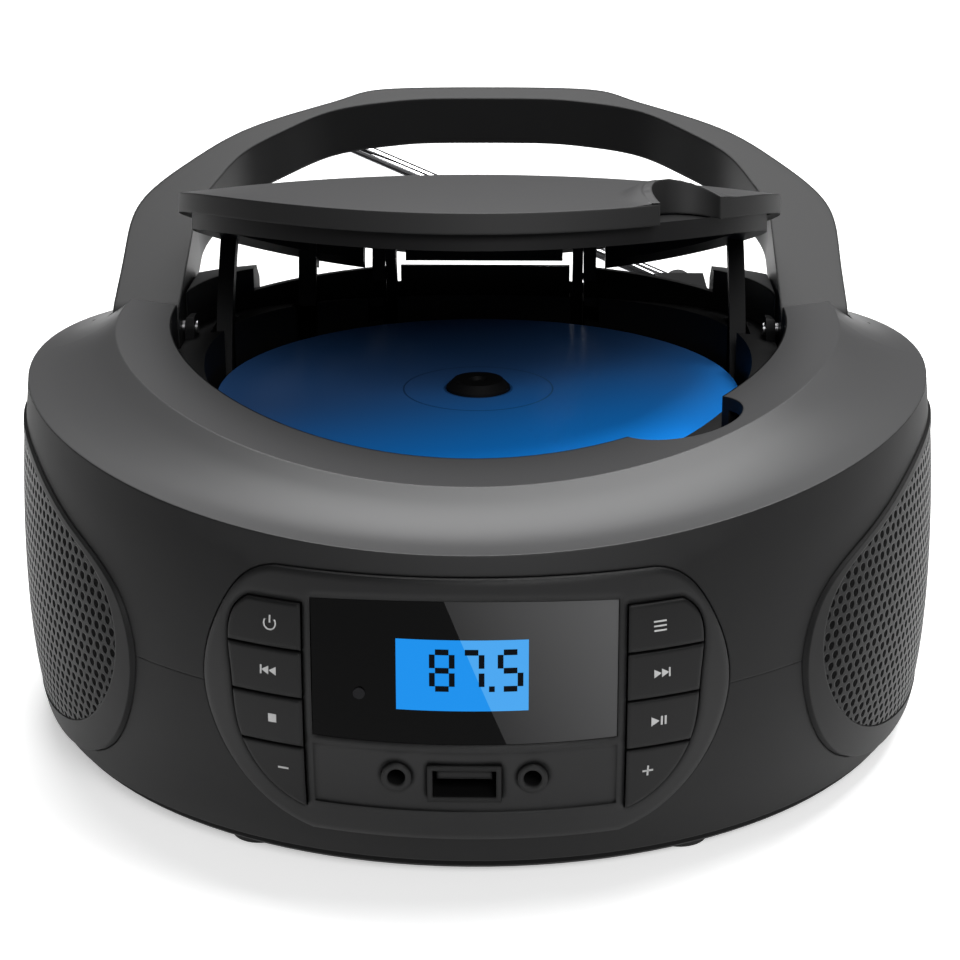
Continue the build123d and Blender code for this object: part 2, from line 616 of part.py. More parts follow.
with BuildPart() as frame_shut:
    add((round_open(FRAME_OUT_R, 60, 98) - round_open(FRAME_IN_R, 55, 99)) & under_crown(LID_T))
    add(under_crown(FRAME_DROP), mode=Mode.SUBTRACT)
    add(rod((scoop_x, scoop_y, 50), SCOOP_R + SCOOP_T + 0.3, 60) - under_crown(SKIRT + 0.3), mode=Mode.SUBTRACT)
    add(block((-REAR_CLEAR, REAR_CLEAR), (40, 90), (50, 98)), mode=Mode.SUBTRACT)
    # chord plate under the lid's rear carries the rib, the hooks and the hinge arms
    chord = block((-45, 45), (RIB_Y[0], RIB_Y[1] + 3), (70, 98)) & round_open(FRAME_OUT_R, 60, 98) & under_crown(LID_T)
    add(chord - under_crown(LID_T + 2.0))
    add((block((-RIB_X, RIB_X), RIB_Y, (77.9, 98)) & under_crown(LID_T)))
    for side in (-1, 1):
        x = sorted((side * HOOK_X[0], side * HOOK_X[1]))
        barb = sorted((side * HOOK_X[0], side * (HOOK_X[0] - 0.7)))
        add(block(x, RIB_Y, (HOOK_TIP_Z, 98)) & under_crown(LID_T))
        add(block(barb, RIB_Y, (HOOK_TIP_Z + 0.4, HOOK_TIP_Z + 2.0)))
    post = block(POST_X, (POST_TIP[0], RIB_Y[1]), (76, 98)) & under_crown(LID_T)
    add(post)
    add(block(POST_X, (POST_TIP[0], POST_TIP[1]), (POST_TIP[2], 78)))
    for side in (-1, 1):
        # guide arm: an arc about the hinge axis, dropping into the body beside the disc
        start = GUIDE_X[0] if side > 0 else -GUIDE_X[1]
        with BuildSketch(Plane(origin=(start, HINGE_Y, HINGE_Z), x_dir=(0, 1, 0), z_dir=(1, 0, 0))):
            with BuildLine():
                a0 = radians(180 + LID_OPEN)
                a1 = radians(180 - 32)
                for r, name in ((GUIDE_R[0], "in"), (GUIDE_R[1], "out")):
                    am = (a0 + a1) / 2
                    ThreePointArc((r * cos(a0), r * sin(a0)), (r * cos(am), r * sin(am)),
                                  (r * cos(a1), r * sin(a1)))
                Line((GUIDE_R[0] * cos(a0), GUIDE_R[0] * sin(a0)), (GUIDE_R[1] * cos(a0), GUIDE_R[1] * sin(a0)))
                Line((GUIDE_R[0] * cos(a1), GUIDE_R[0] * sin(a1)), (GUIDE_R[1] * cos(a1), GUIDE_R[1] * sin(a1)))
            make_face()
        extrude(amount=GUIDE_X[1] - GUIDE_X[0])
        # hinge arm from the ring down to the pin
        start = side * ARM_X - ARM_T / 2
        with BuildSketch(Plane(origin=(start, 0, 0), x_dir=(0, 1, 0), z_dir=(1, 0, 0))):
            with BuildLine():
                Polyline((HINGE_Y - 3.6, HINGE_Z), (RIB_Y[1] + 1.6, 74.6), (RIB_Y[0] + 0.6, 78),
                         (RIB_Y[0] + 0.6, 84), (RIB_Y[1] + 2.6, 84), (RIB_Y[1] + 4.6, 77.6),
                         (HINGE_Y + 3.6, HINGE_Z + 2), (HINGE_Y, HINGE_Z - 1), (HINGE_Y - 3.6, HINGE_Z))
            make_face()
            with Locations((HINGE_Y, HINGE_Z)):
                Circle(4.0)
            with Locations((HINGE_Y, HINGE_Z)):
                Circle(HINGE_PIN_R + RUN, mode=Mode.SUBTRACT)
        extrude(amount=ARM_T)
    above = block((-80, 80), (20, 100), (60, 110)) - under_crown(LID_T)
    add(above, mode=Mode.SUBTRACT)
    # the arms stay clear of the cover's skirt
    skirt_room = round_open(90, 60, 98) - round_open(LID_R - LID_T - 0.3, 55, 99) - under_crown(SKIRT + 0.5)
    add(skirt_room, mode=Mode.SUBTRACT)
lid_cover = open_lid * lid_shut.part
lid_frame = open_lid * frame_shut.part
with BuildPart() as lid_hinge_pins:
    for side in (-1, 1):
        reach_out = ARM_T / 2 + 3.2
        add(rod((side * ARM_X - reach_out, HINGE_Y, HINGE_Z), HINGE_PIN_R, 2 * reach_out, "X"))

# carry handle: a flat bail leaning back, its knuckles on pins in the deck slots
lean = radians(HANDLE_LEAN)
handle_plane = Plane(origin=(0, HANDLE_Y, HANDLE_Z), x_dir=(1, 0, 0), z_dir=(0, -cos(lean), sin(lean)))
OUTER_CURVE = ((LEG_OUT_X, 14.0), (83.5, 42.0), (73.0, 58.0), (61.0, 70.5), (38.0, 83.5), (0.0, 89.3))
INNER_CURVE = ((LEG_IN_X, 35.0), (66.6, 48.0), (61.0, 60.0), (51.0, 70.0), (39.5, 78.4), (26.0, 82.3), (0.0, 84.0))
with BuildPart() as handle:
    with BuildSketch(handle_plane):
        with BuildLine():
            for side in (-1, 1):
                for curve in (OUTER_CURVE, INNER_CURVE):
                    Spline([(side * x, s) for x, s in curve], tangents=((0, 1), (-side, 0)))
                Polyline((side * LEG_OUT_X, OUTER_CURVE[0][1]), (side * LEG_OUT_X, PIVOT_UP),
                         (side * LEG_IN_X, PIVOT_UP), (side * LEG_IN_X, INNER_CURVE[0][1]))
        make_face()
    extrude(amount=-HANDLE_T)
    for side in (-1, 1):
        middle = side * (LEG_IN_X + LEG_OUT_X) / 2
        add(handle_plane * Pos(middle, PIVOT_UP, -HANDLE_T / 2) * Rot(0, 90, 0)
            * Cylinder(KNUCKLE_R, LEG_OUT_X - LEG_IN_X, mode=Mode.PRIVATE))
    add(rod((-LEG_OUT_X - 5, handle_pivot[0], handle_pivot[1]), HANDLE_PIN_R + RUN, 2 * LEG_OUT_X + 10, "X"),
        mode=Mode.SUBTRACT)
PIN_LEN = SLOT_OUT_X + 1.6 - PIN_WALL_X + 0.5
with BuildPart() as handle_pins:
    for side in (-1, 1):
        start = PIN_WALL_X - 0.5 if side > 0 else -PIN_WALL_X + 0.5 - PIN_LEN
        add(rod((start, handle_pivot[0], handle_pivot[1]), HANDLE_PIN_R, PIN_LEN, "X"))

# front panel with its window, key openings and port strip
def key_column(side, grow):
    """Outline of one column of keys, narrowing to a point low down."""
    top = KEY_ROWS[0] + grow
    low = KEY_ROWS[-1] - grow
    x_in = side * (KEY_IN_X - grow)
    curve = ((41.4, top), (44.6 + grow, 57.5), (45.4 + grow, 45.0), (44.4 + grow, 34.0),
             (39.6 + grow, 24.0), (31.6 + grow, low))
    Spline([(side * x, z) for x, z in curve])
    Polyline((side * curve[-1][0], low), (x_in, low), (x_in, top), (side * curve[0][0], top))


def key_opening(side):
    """Opening for a whole column of keys run through the front wall."""
    with BuildPart(mode=Mode.PRIVATE) as form:
        with BuildSketch(Plane.XZ):
            with BuildLine():
                key_column(side, 0)
            make_face()
        extrude(amount=120)
    return form.part


def key_prism(side, row):
    """One key's outline run through the front wall, clear of its opening and neighbours."""
    with BuildPart(mode=Mode.PRIVATE) as form:
        with BuildSketch(Plane.XZ):
            with BuildLine():
                key_column(side, -KEY_GAP)
            make_face()
            with Locations((0, (KEY_ROWS[row] + KEY_ROWS[row + 1]) / 2)):
                Rectangle(120, KEY_ROWS[row] - KEY_ROWS[row + 1] - 2 * KEY_GAP, mode=Mode.INTERSECT)
        extrude(amount=120)
    return form.part


def window_prism(grow):
    """Display window outline, its top bowed up a little."""
    with BuildPart(mode=Mode.PRIVATE) as form:
        with BuildSketch(Plane.XZ):
            with BuildLine():
                x = WINDOW_X + grow
                low, high = WINDOW_LOW - grow, WINDOW_HIGH + grow
                ThreePointArc((-x, high - 1.0), (0, high), (x, high - 1.0))
                Polyline((x, high - 1.0), (x, low), (-x, low), (-x, high - 1.0))
            make_face()
        extrude(amount=120)
    return form.part


STRIP_LOW = 19.0
STRIP_HIGH = 32.5
front_reach = wall_dims(JACK_Z)[1]
window_hole = window_prism(0)
with BuildPart() as front_panel:
    add((skin_proud - skin_back) & shield_cut(0))
    add(window_hole, mode=Mode.SUBTRACT)
    add(block((-WINDOW_X, WINDOW_X), (-125, -60), (STRIP_LOW, STRIP_HIGH)) - skin_flat, mode=Mode.SUBTRACT)
    for side in (-1, 1):
        add(key_opening(side), mode=Mode.SUBTRACT)
        add(rod((side * JACK_X, -125, JACK_Z), JACK_RING_R + 0.1, 60, "Y"), mode=Mode.SUBTRACT)
    add(block((-USB_HALF - 1.1, USB_HALF + 1.1), (-125, -60), (USB_LOW - 1.1, USB_HIGH + 1.1)), mode=Mode.SUBTRACT)

with BuildPart() as display_lens:
    add((skin(PANEL_PROUD - 0.25, 20, 72) - skin(PANEL_PROUD - 1.8, 19, 73)) & window_prism(-0.15))
LCD_X = 14.0
LCD_Z = (40.5, 56.0)
LCD_FACE_Y = -107.6
with BuildPart() as lcd_module:
    add(block((-LCD_X, LCD_X), (LCD_FACE_Y, BOARD_Y), LCD_Z))
    add(block((-LCD_X + 1.5, LCD_X - 1.5), (LCD_FACE_Y - 1, LCD_FACE_Y + 0.5), (LCD_Z[0] + 1, LCD_Z[1] - 1)),
        mode=Mode.SUBTRACT)
BOARD_T = 1.6
BOARD_HALF = 42.0
with BuildPart() as key_board:
    with BuildSketch(Plane.XZ.offset(-BOARD_Y - BOARD_T)):
        with BuildLine():
            Polyline((-BOARD_HALF, 62), (BOARD_HALF, 62), (BOARD_HALF, 34), (29, 18), (-29, 18),
                     (-BOARD_HALF, 34), (-BOARD_HALF, 62))
        make_face()
    extrude(amount=BOARD_T)
    for side in (-1, 1):
        for row in range(4):
            z = (KEY_ROWS[row] + KEY_ROWS[row + 1]) / 2
            add(rod((side * 36, BOARD_Y - 1.2, z), 1.6, 1.3, "Y"))
KEY_NAMES = {-1: ("power", "previous", "stop", "volume_down"), 1: ("mode", "next", "play", "volume_up")}
KEY_BACK_Y = BOARD_Y - 2.3
keys = {}
for side in (-1, 1):
    for row in range(4):
        with BuildPart() as key:
            cap = skin_key & key_prism(side, row)
            add(cap - block((-120, 120), (KEY_BACK_Y, 120), (0, 90)))
        keys[KEY_NAMES[side][row]] = key.part

# sockets in the port strip
JACK_FACE_Y = -110.9
jacks = {}
for name, side in (("aux_jack", -1), ("headphone_jack", 1)):
    with BuildPart() as jack:
        add(rod((side * JACK_X, JACK_FACE_Y, JACK_Z), JACK_RING_R, BOARD_Y - JACK_FACE_Y, "Y"))
        add(rod((side * JACK_X, JACK_FACE_Y - 1, JACK_Z), JACK_R, JACK_DEPTH + 1, "Y"), mode=Mode.SUBTRACT)
    jacks[name] = jack.part
USB_FACE_Y = -111.5
USB_WALL = 1.0
with BuildPart() as usb_port:
    add(block((-USB_HALF - USB_WALL, USB_HALF + USB_WALL), (USB_FACE_Y, BOARD_Y),
              (USB_LOW - USB_WALL, USB_HIGH + USB_WALL)))
    add(block((-USB_HALF, USB_HALF), (USB_FACE_Y - 1, USB_FACE_Y + 11.5), (USB_LOW, USB_HIGH)), mode=Mode.SUBTRACT)
    add(block((-USB_HALF + 0.8, USB_HALF - 0.8), (USB_FACE_Y + 1.0, USB_FACE_Y + 12), (USB_HIGH - 2.1, USB_HIGH - 0.4)))

# speakers: pod with ring, tunnel and baffle; grille; driver and cone
side_out = skin(0.9, 5, 80, 78.0)
side_in = skin(-4.2, 5, 81, 78.0)
side_mid = skin(-WALL - 1.2, 5, 81, 78.0)
grille_out = skin(0.7, 6, 79, 78.0)
grille_in = skin(-0.8, 5, 80, 78.0)
BAFFLE_T = 2.2
pods, grilles, drivers, cones = {}, {}, {}, {}
for side, word in ((-1, "left"), (1, "right")):
    with BuildPart() as pod:
        opening = speaker_prism(side, POD_SEAT, 0)
        tunnel = speaker_prism(side, POD_SEAT - BAFFLE_T, 1.8) - opening
        add(tunnel & side_mid)
        ring = (side_out - side_in) & speaker_prism(side, 73, 2.0, 6.0)
        add(ring - speaker_prism(side, 60, 0))
        hole = speaker_plane(side, POD_SEAT - 10) * Pos(0, DRIVER_Z, 0)
        add(hole * Cylinder(DRIVER_R - 1.5, 40, mode=Mode.PRIVATE), mode=Mode.SUBTRACT)
    pods[word] = pod.part
    with BuildPart() as grille:
        add((grille_out - grille_in) & speaker_prism(side, 70, -FIT))
    grilles[word] = grille.part
    seat = speaker_plane(side, POD_SEAT - BAFFLE_T) * Pos(0, DRIVER_Z, 0)
    # driver: basket rim on the baffle, cup and magnet, turned about its axis
    with BuildPart() as driver:
        with BuildSketch(Plane.XZ):
            with BuildLine():
                Polyline((0, -24), (16, -24), (16, -14), (14.5, -13), (DRIVER_R + 3, -1.4), (DRIVER_R + 3, 0),
                         (DRIVER_R - 1.5, 0), (DRIVER_R - 2.5, -2.2), (13, -12), (0, -12), (0, -24))
            make_face()
        revolve(axis=Axis.Z)
    drivers[word] = seat * driver.part
    with BuildPart() as cone:
        with BuildSketch(Plane.XZ):
            with BuildLine():
                Polyline((0, -11.7), (11, -11.7), (DRIVER_R - 3.2, -1.9), (DRIVER_R - 1.8, 0.6),
                         (DRIVER_R - 4.5, 0.9), (9, -7.6))
                Line((9, -7.6), (8, -7.6))
                cap_r = 12.5
                cap_low = cap_r - sqrt(cap_r ** 2 - 8 ** 2)
                cap_mid = cap_r - sqrt(cap_r ** 2 - 4 ** 2)
                ThreePointArc((8, -7.6), (4, -7.6 + cap_low - cap_mid), (0, -7.6 + cap_low))
                Line((0, -7.6 + cap_low), (0, -11.7))
            make_face()
        revolve(axis=Axis.Z)
    cones[word] = seat * cone.part

# folded telescopic aerial on a stud of its rear bracket
STUD_R = 1.5
AERIAL_FOOT_Y = AERIAL_Y - 2.5
with BuildPart() as antenna_base:
    add(block((AERIAL_X - 6.5, AERIAL_X + 6.5), (74, AERIAL_FOOT_Y), (60, 74)) - skin(0.9, 40, 76))
    add(rod((AERIAL_X, AERIAL_FOOT_Y - 1, AERIAL_Z), STUD_R, 6.4, "Y"))
    add(rod((AERIAL_X, AERIAL_Y + 2.5, AERIAL_Z), 2.6, STUD_HEAD - 2.5, "Y"))
    add(block((AERIAL_X - 6.5, AERIAL_X + 6.5), (74, AERIAL_FOOT_Y), (73.2, 80)), mode=Mode.SUBTRACT)
rise = radians(AERIAL_RISE)
aerial_plane = Plane(origin=(AERIAL_X, AERIAL_Y, AERIAL_Z), x_dir=(0, 1, 0), z_dir=(-cos(rise), 0, sin(rise)))
SECTION_GAP = 0.10
TUBE_T = 0.4
with BuildPart() as antenna_tube:
    add(rod((AERIAL_X, AERIAL_Y - 2.2, AERIAL_Z), 4.0, 4.4, "Y"))
    add(aerial_plane * Cylinder(AERIAL_R, 100, align=(Align.CENTER, Align.CENTER, Align.MIN), mode=Mode.PRIVATE))
    bore = Cylinder(AERIAL_R - TUBE_T, 100, align=(Align.CENTER, Align.CENTER, Align.MIN), mode=Mode.PRIVATE)
    add(aerial_plane * Pos(0, 0, 6) * bore, mode=Mode.SUBTRACT)
    add(rod((AERIAL_X, AERIAL_Y - 4, AERIAL_Z), STUD_R + RUN, 8, "Y"), mode=Mode.SUBTRACT)
mid_r = AERIAL_R - TUBE_T - SECTION_GAP
tip_r = mid_r - TUBE_T - SECTION_GAP
with BuildPart() as mid_tube:
    add(rod((0, 0, 8), mid_r, 95.5))
    add(rod((0, 0, 10), mid_r - TUBE_T, 120), mode=Mode.SUBTRACT)
with BuildPart() as tip_tube:
    add(rod((0, 0, 12), tip_r, 95))
    with BuildSketch(Plane.XZ):
        with BuildLine():
            Polyline((0, 106), (AERIAL_R - 0.6, 106), (AERIAL_R, 106.8), (AERIAL_R, AERIAL_LEN - 1),
                     (AERIAL_R - 0.8, AERIAL_LEN), (0, AERIAL_LEN), (0, 106))
        make_face()
    revolve(axis=Axis.Z)
antenna_middle = aerial_plane * mid_tube.part
antenna_tip = aerial_plane * tip_tube.part

# mains inlet, main board and transformer
inlet_wall_y = wall_dims(INLET_LOW)[2] * 0.955
with BuildPart() as power_inlet:
    add(block((INLET_X - INLET_W / 2, INLET_X + INLET_W / 2), (inlet_wall_y - 12, inlet_wall_y + 1.5),
              (INLET_LOW, INLET_LOW + INLET_H)))
    centre_z = INLET_LOW + INLET_H / 2
    for dx in (-INLET_PITCH / 2, INLET_PITCH / 2):
        add(rod((INLET_X + dx, inlet_wall_y - 9, centre_z), 3.7, 12, "Y"), mode=Mode.SUBTRACT)
    add(block((INLET_X - 3.5, INLET_X + 3.5), (inlet_wall_y - 9, inlet_wall_y + 3), (centre_z - 2.2, centre_z + 2.2)),
        mode=Mode.SUBTRACT)
    for dx in (-INLET_PITCH / 2, INLET_PITCH / 2):
        add(rod((INLET_X + dx, inlet_wall_y - 9.5, centre_z), 1.15, 8.5, "Y"))
with BuildPart() as main_board:
    add(block((-BOARD_X, BOARD_X), BOARD_YS, (BOARD_Z, BOARD_Z + BOARD_T)))
    for x, y, w, d, h in ((-20, -8, 14, 14, 2.5), (15, 5, 22, 10, 12), (34, -14, 9, 9, 16), (-36, 20, 12, 8, 10)):
        add(block((x - w / 2, x + w / 2), (y - d / 2, y + d / 2), (BOARD_Z + BOARD_T - 0.1, BOARD_Z + BOARD_T + h)))
with BuildPart() as transformer:
    add(block((4, 44), (46, 76), (FOOT_Z + FLOOR_T, 36)))
    chamfer(transformer.edges().filter_by(Axis.Z), 2)
    add(block((2, 46), (54, 68), (FOOT_Z + FLOOR_T, 30)))

pieces = {
    "upper_cabinet": upper_cabinet.part, "lower_cabinet": lower_cabinet.part, "base_plate": base_plate.part,
    "feet": feet.part, "front_panel": front_panel.part, "display_lens": display_lens.part,
    "lcd_module": lcd_module.part, "key_board": key_board.part, "aux_jack": jacks["aux_jack"],
    "headphone_jack": jacks["headphone_jack"], "usb_port": usb_port.part, "cd_well": cd_well.part,
    "disc": disc.part, "spindle_hub": spindle_hub.part, "spindle_motor": spindle_motor.part,
    "deck_chassis": deck_chassis.part, "pickup_rails": pickup_rails.part, "optical_pickup": optical_pickup.part,
    "lid_cover": lid_cover, "lid_frame": lid_frame, "lid_hinge_pins": lid_hinge_pins.part,
    "handle": handle.part, "handle_pins": handle_pins.part,
    "antenna_base": antenna_base.part, "antenna_tube": antenna_tube.part,
    "antenna_middle": antenna_middle, "antenna_tip": antenna_tip,
    "power_inlet": power_inlet.part, "main_board": main_board.part, "transformer": transformer.part,
}
for name, shape in keys.items():
    pieces[f"button_{name}"] = shape
for word in ("left", "right"):
    pieces[f"speaker_pod_{word}"] = pods[word]
    pieces[f"speaker_grille_{word}"] = grilles[word]
    pieces[f"speaker_driver_{word}"] = drivers[word]
    pieces[f"speaker_cone_{word}"] = cones[word]
for name, shape in pieces.items():
    save(shape, name)
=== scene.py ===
import math

import bpy
from mathutils import Matrix, Vector


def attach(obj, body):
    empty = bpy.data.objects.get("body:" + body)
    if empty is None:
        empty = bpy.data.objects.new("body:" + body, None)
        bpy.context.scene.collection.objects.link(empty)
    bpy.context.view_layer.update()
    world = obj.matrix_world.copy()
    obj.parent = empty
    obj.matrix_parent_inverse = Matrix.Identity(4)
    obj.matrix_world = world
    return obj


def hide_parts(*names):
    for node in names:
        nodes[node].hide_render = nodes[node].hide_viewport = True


bl_info = {
    "name": "Round CD radio",
    "version": (1, 0, 0),
    "blender": (4, 5, 0),
    "location": "View3D > Sidebar > CD radio",
    "description": "Finishes, lid top, key symbols, display, grille holes and stage for the round CD radio",
    "category": "Object",
}

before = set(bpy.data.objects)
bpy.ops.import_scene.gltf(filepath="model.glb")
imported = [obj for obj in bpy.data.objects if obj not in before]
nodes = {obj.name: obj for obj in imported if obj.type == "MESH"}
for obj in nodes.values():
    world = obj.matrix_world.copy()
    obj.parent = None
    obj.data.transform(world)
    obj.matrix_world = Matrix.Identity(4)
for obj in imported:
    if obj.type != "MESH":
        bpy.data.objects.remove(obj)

# cabinet, in metres
SHIFT_Y = 0.0038          # the disc axis stands this far behind the frame's origin
DECK_AXIS_Y = -0.007 + SHIFT_Y
GRILLE_RADIUS = 0.1035    # radius at which the rows of grille holes keep their pitch
ROW_SHARE = 0.84          # height of a row of holes as a share of the pitch

# disc opening, the straight stretch of its rear wall and the finger notch in its rim
OPENING_Y = 0.003 + SHIFT_Y
OPENING_RADIUS = 0.07035
OPENING_STRETCH = 0.0045  # how far the rear half of the opening is set back
REAR_WALL_NEAR = 0.0675
REAR_WALL_FAR = 0.0713
REAR_WALL_HALF = 0.0235
NOTCH_X = 0.0431
NOTCH_Y = SHIFT_Y - 0.05216
NOTCH_RADIUS = 0.0135
NOTCH_TOP = 0.0745

# lid: its hinge, its crowned top when shut, and the brow round its finger scoop
LID_HINGE = Vector((0, 0.08 + SHIFT_Y, 0.052))
LID_OPEN = math.radians(19)
LID_EDGE = 0.0693
CROWN = Vector((0, 0.0113 + SHIFT_Y, 0.09289))
CROWN_ALONG = 0.1935      # the crown's radius front to back
CROWN_ACROSS = 0.535
SCOOP_TURN = math.radians(41.4)
SCOOP_REACH = 0.07        # from the opening's middle to the scoop's
SCOOP = Vector((SCOOP_REACH * math.sin(SCOOP_TURN), OPENING_Y - SCOOP_REACH * math.cos(SCOOP_TURN), 0))
SCOOP_RADIUS = 0.009
BROW_WIDTH = 0.002
BROW_RISE = 0.003
BROW_RUN = 0.006          # how far the brow's slope runs out over the lid
BROW_TURN = math.radians(168)
BROW_SHOULDER = 0.85      # height of the brow's outer edge as a share of its inner edge
BROW_MARGIN = 0.0003      # how far outside the brow a point of the hood may still lie
HOOD_LEAST = 0.0002       # height over the crown from which a point belongs to the hood
SLOPE_OVERLAP = 0.0001
SLOPE_SINK = 0.00003
WELD = 0.00001
SMOOTH_BELOW = math.radians(32)

# window's painted reflection, a pale band with a slanted edge, and what lies behind the window
SLANT_TOP_LEFT = 0.0034   # how far left of the middle the band's slanted edge starts
SLANT_TOP_Z = 0.062
SLANT = 0.415
REFLECTION_FADE_WIDTH = 0.03
FIELD_X = (-0.0128, 0.0122)
FIELD_Z = (0.0413, 0.0553)
FIELD_THICK = 0.00004
DIGITS = (("8", -0.0041), ("7", 0.0015), ("5", 0.0088))
POINT_X = 0.0053
DIGIT_Z = 0.0494
DIGIT_LIFT = 0.00018
DIGIT_SLIMNESS = 0.52     # width of a digit as a share of its height
STROKE_SHARE = 0.15
SENSOR_X, SENSOR_Z = -0.0199, 0.044
SENSOR_RADIUS = 0.00115
SENSOR_DEPTH = 0.0008

# key symbols: each row's distance from the middle and its height, and the keys of each side
KEY_ROWS = ((0.0370, 0.0560), (0.0372, 0.0466), (0.0370, 0.0368), (0.0352, 0.0262))
KEY_SIDES = ((-1, ("power", "previous", "stop", "volume_down")), (1, ("mode", "next", "play", "volume_up")))
PRINT_THICK = 0.00012

# disc's label side, by radius; the colour ramp ends at DISC_RAMP
DISC_RAMP = 0.05
HUB_TONE_END = 0.008
FINE_RING = (0.0169, 0.0173)

# finishes
NEAR_BLACK = (0.003, 0.003, 0.0032)
HOLE_BLACK = (0.0008, 0.0008, 0.0008)
# grey of the painted reflection band on the window
REFLECTION_GREY = (0.12, 0.12, 0.122)
# paler blue painted on the display as the window's reflection
REFLECTED_BLUE = (0.075, 0.4, 0.9)
# blue of the painted shade on the disc's back left
DISC_SHADE = (0.035, 0.11, 0.3)
UPRIGHT_ROUGH = 0.62
SATIN_GRAIN = 0.04
GRAIN_SCALE = 2600
GRAIN_DEPTH = 0.00005
HOLE_DEPTH = 0.0004

# camera, fitted to the photograph
SENSOR_WIDTH = 36.0
FOCAL_PIXELS = 2250.0
PHOTO_PIXELS = 960.0
EYE = Vector((0.01301, -0.496842 + SHIFT_Y, 0.223501))
EYE_AHEAD = Vector((-0.024018, 0.942676, -0.332843))
EYE_UP = Vector((-0.005223, 0.332817, 0.942977))


class CabinetSizes(bpy.types.PropertyGroup):
    hole_pitch: bpy.props.FloatProperty(
        name="Hole pitch", description="Distance between grille holes along a row", default=0.0027,
        subtype="DISTANCE", unit="LENGTH")
    hole_radius: bpy.props.FloatProperty(
        name="Hole radius", description="Radius of one grille hole", default=0.0008,
        subtype="DISTANCE", unit="LENGTH")
    symbol_lift: bpy.props.FloatProperty(
        name="Symbol lift", description="How far a printed symbol stands off its key", default=0.00006,
        subtype="DISTANCE", unit="LENGTH")
    digit_height: bpy.props.FloatProperty(
        name="Digit height", description="Height of the display's digits", default=0.0072,
        subtype="DISTANCE", unit="LENGTH")


class CabinetColours(bpy.types.PropertyGroup):
    deck: bpy.props.FloatVectorProperty(
        name="Deck", description="Satin grey of the deck", subtype="COLOR", default=(0.052, 0.052, 0.053))
    # painted shade: the upright walls' dark grey is a shaded copy of the deck grey
    wall: bpy.props.FloatVectorProperty(
        name="Wall", description="Dark grey of the upright walls", subtype="COLOR",
        default=(0.005, 0.005, 0.0052))
    lid: bpy.props.FloatVectorProperty(
        name="Lid", description="Grey of the disc lid", subtype="COLOR", default=(0.054, 0.054, 0.055))
    # painted shade: the lid edge's darker grey is a shaded copy of the lid grey
    lid_side_shade: bpy.props.FloatVectorProperty(
        name="Lid side", description="Darker grey of the lid's edge", subtype="COLOR",
        default=(0.009, 0.009, 0.0092))
    handle: bpy.props.FloatVectorProperty(
        name="Handle", description="Grey of the carry handle", subtype="COLOR",
        default=(0.018, 0.018, 0.0184))
    grille: bpy.props.FloatVectorProperty(
        name="Grille", description="Dark grey of the grilles", subtype="COLOR",
        default=(0.0055, 0.0055, 0.0057))
    display: bpy.props.FloatVectorProperty(
        name="Display", description="Lit blue of the display", subtype="COLOR", default=(0.0103, 0.29, 0.87))
    disc: bpy.props.FloatVectorProperty(
        name="Disc", description="Blue of the disc's label side", subtype="COLOR", default=(0.01, 0.3, 1.0))


def fresh_material(name):
    """New material with its node tree and its Principled shader."""
    mat = bpy.data.materials.new(name)
    mat.use_nodes = True
    return mat, mat.node_tree, mat.node_tree.nodes["Principled BSDF"]


def feed(tree, socket, value):
    """Gives an input another node's output, a number or a colour."""
    if isinstance(value, bpy.types.NodeSocket):
        tree.links.new(value, socket)
    elif isinstance(value, (int, float)):
        socket.default_value = value
    else:
        socket.default_value = (*value, 1)


def math_node(tree, kind, first, second=None):
    """Result of a Math node fed by sockets or numbers."""
    node = tree.nodes.new("ShaderNodeMath")
    node.operation = kind
    feed(tree, node.inputs[0], first)
    if second is not None:
        feed(tree, node.inputs[1], second)
    return node.outputs[0]


def distance(tree, across, along):
    """Length of a flat offset."""
    squares = [math_node(tree, "MULTIPLY", side, side) for side in (across, along)]
    return math_node(tree, "SQRT", math_node(tree, "ADD", *squares))


def coordinates(tree, output="Object"):
    """X, Y and Z of a place, or of the way that a face looks when output is Normal."""
    where = tree.nodes.new("ShaderNodeTexCoord")
    split = tree.nodes.new("ShaderNodeSeparateXYZ")
    tree.links.new(where.outputs[output], split.inputs[0])
    return split.outputs["X"], split.outputs["Y"], split.outputs["Z"]


def ramped(tree, value, low, high, start=0.0, end=1.0, smooth=False):
    """Value that runs from start at low to end at high."""
    node = tree.nodes.new("ShaderNodeMapRange")
    if smooth:
        node.interpolation_type = "SMOOTHSTEP"
    for name, number in (("From Min", low), ("From Max", high), ("To Min", start), ("To Max", end)):
        node.inputs[name].default_value = number
    tree.links.new(value, node.inputs["Value"])
    return node.outputs["Result"]


def two_colours(tree, share, first, second, kind="MIX"):
    """Colour that goes from the first to the second as share goes from 0 to 1."""
    node = tree.nodes.new("ShaderNodeMix")
    node.data_type = "RGBA"
    node.blend_type = kind
    feed(tree, node.inputs["Factor"], share)
    feed(tree, node.inputs["A"], first)
    feed(tree, node.inputs["B"], second)
    return node.outputs["Result"]


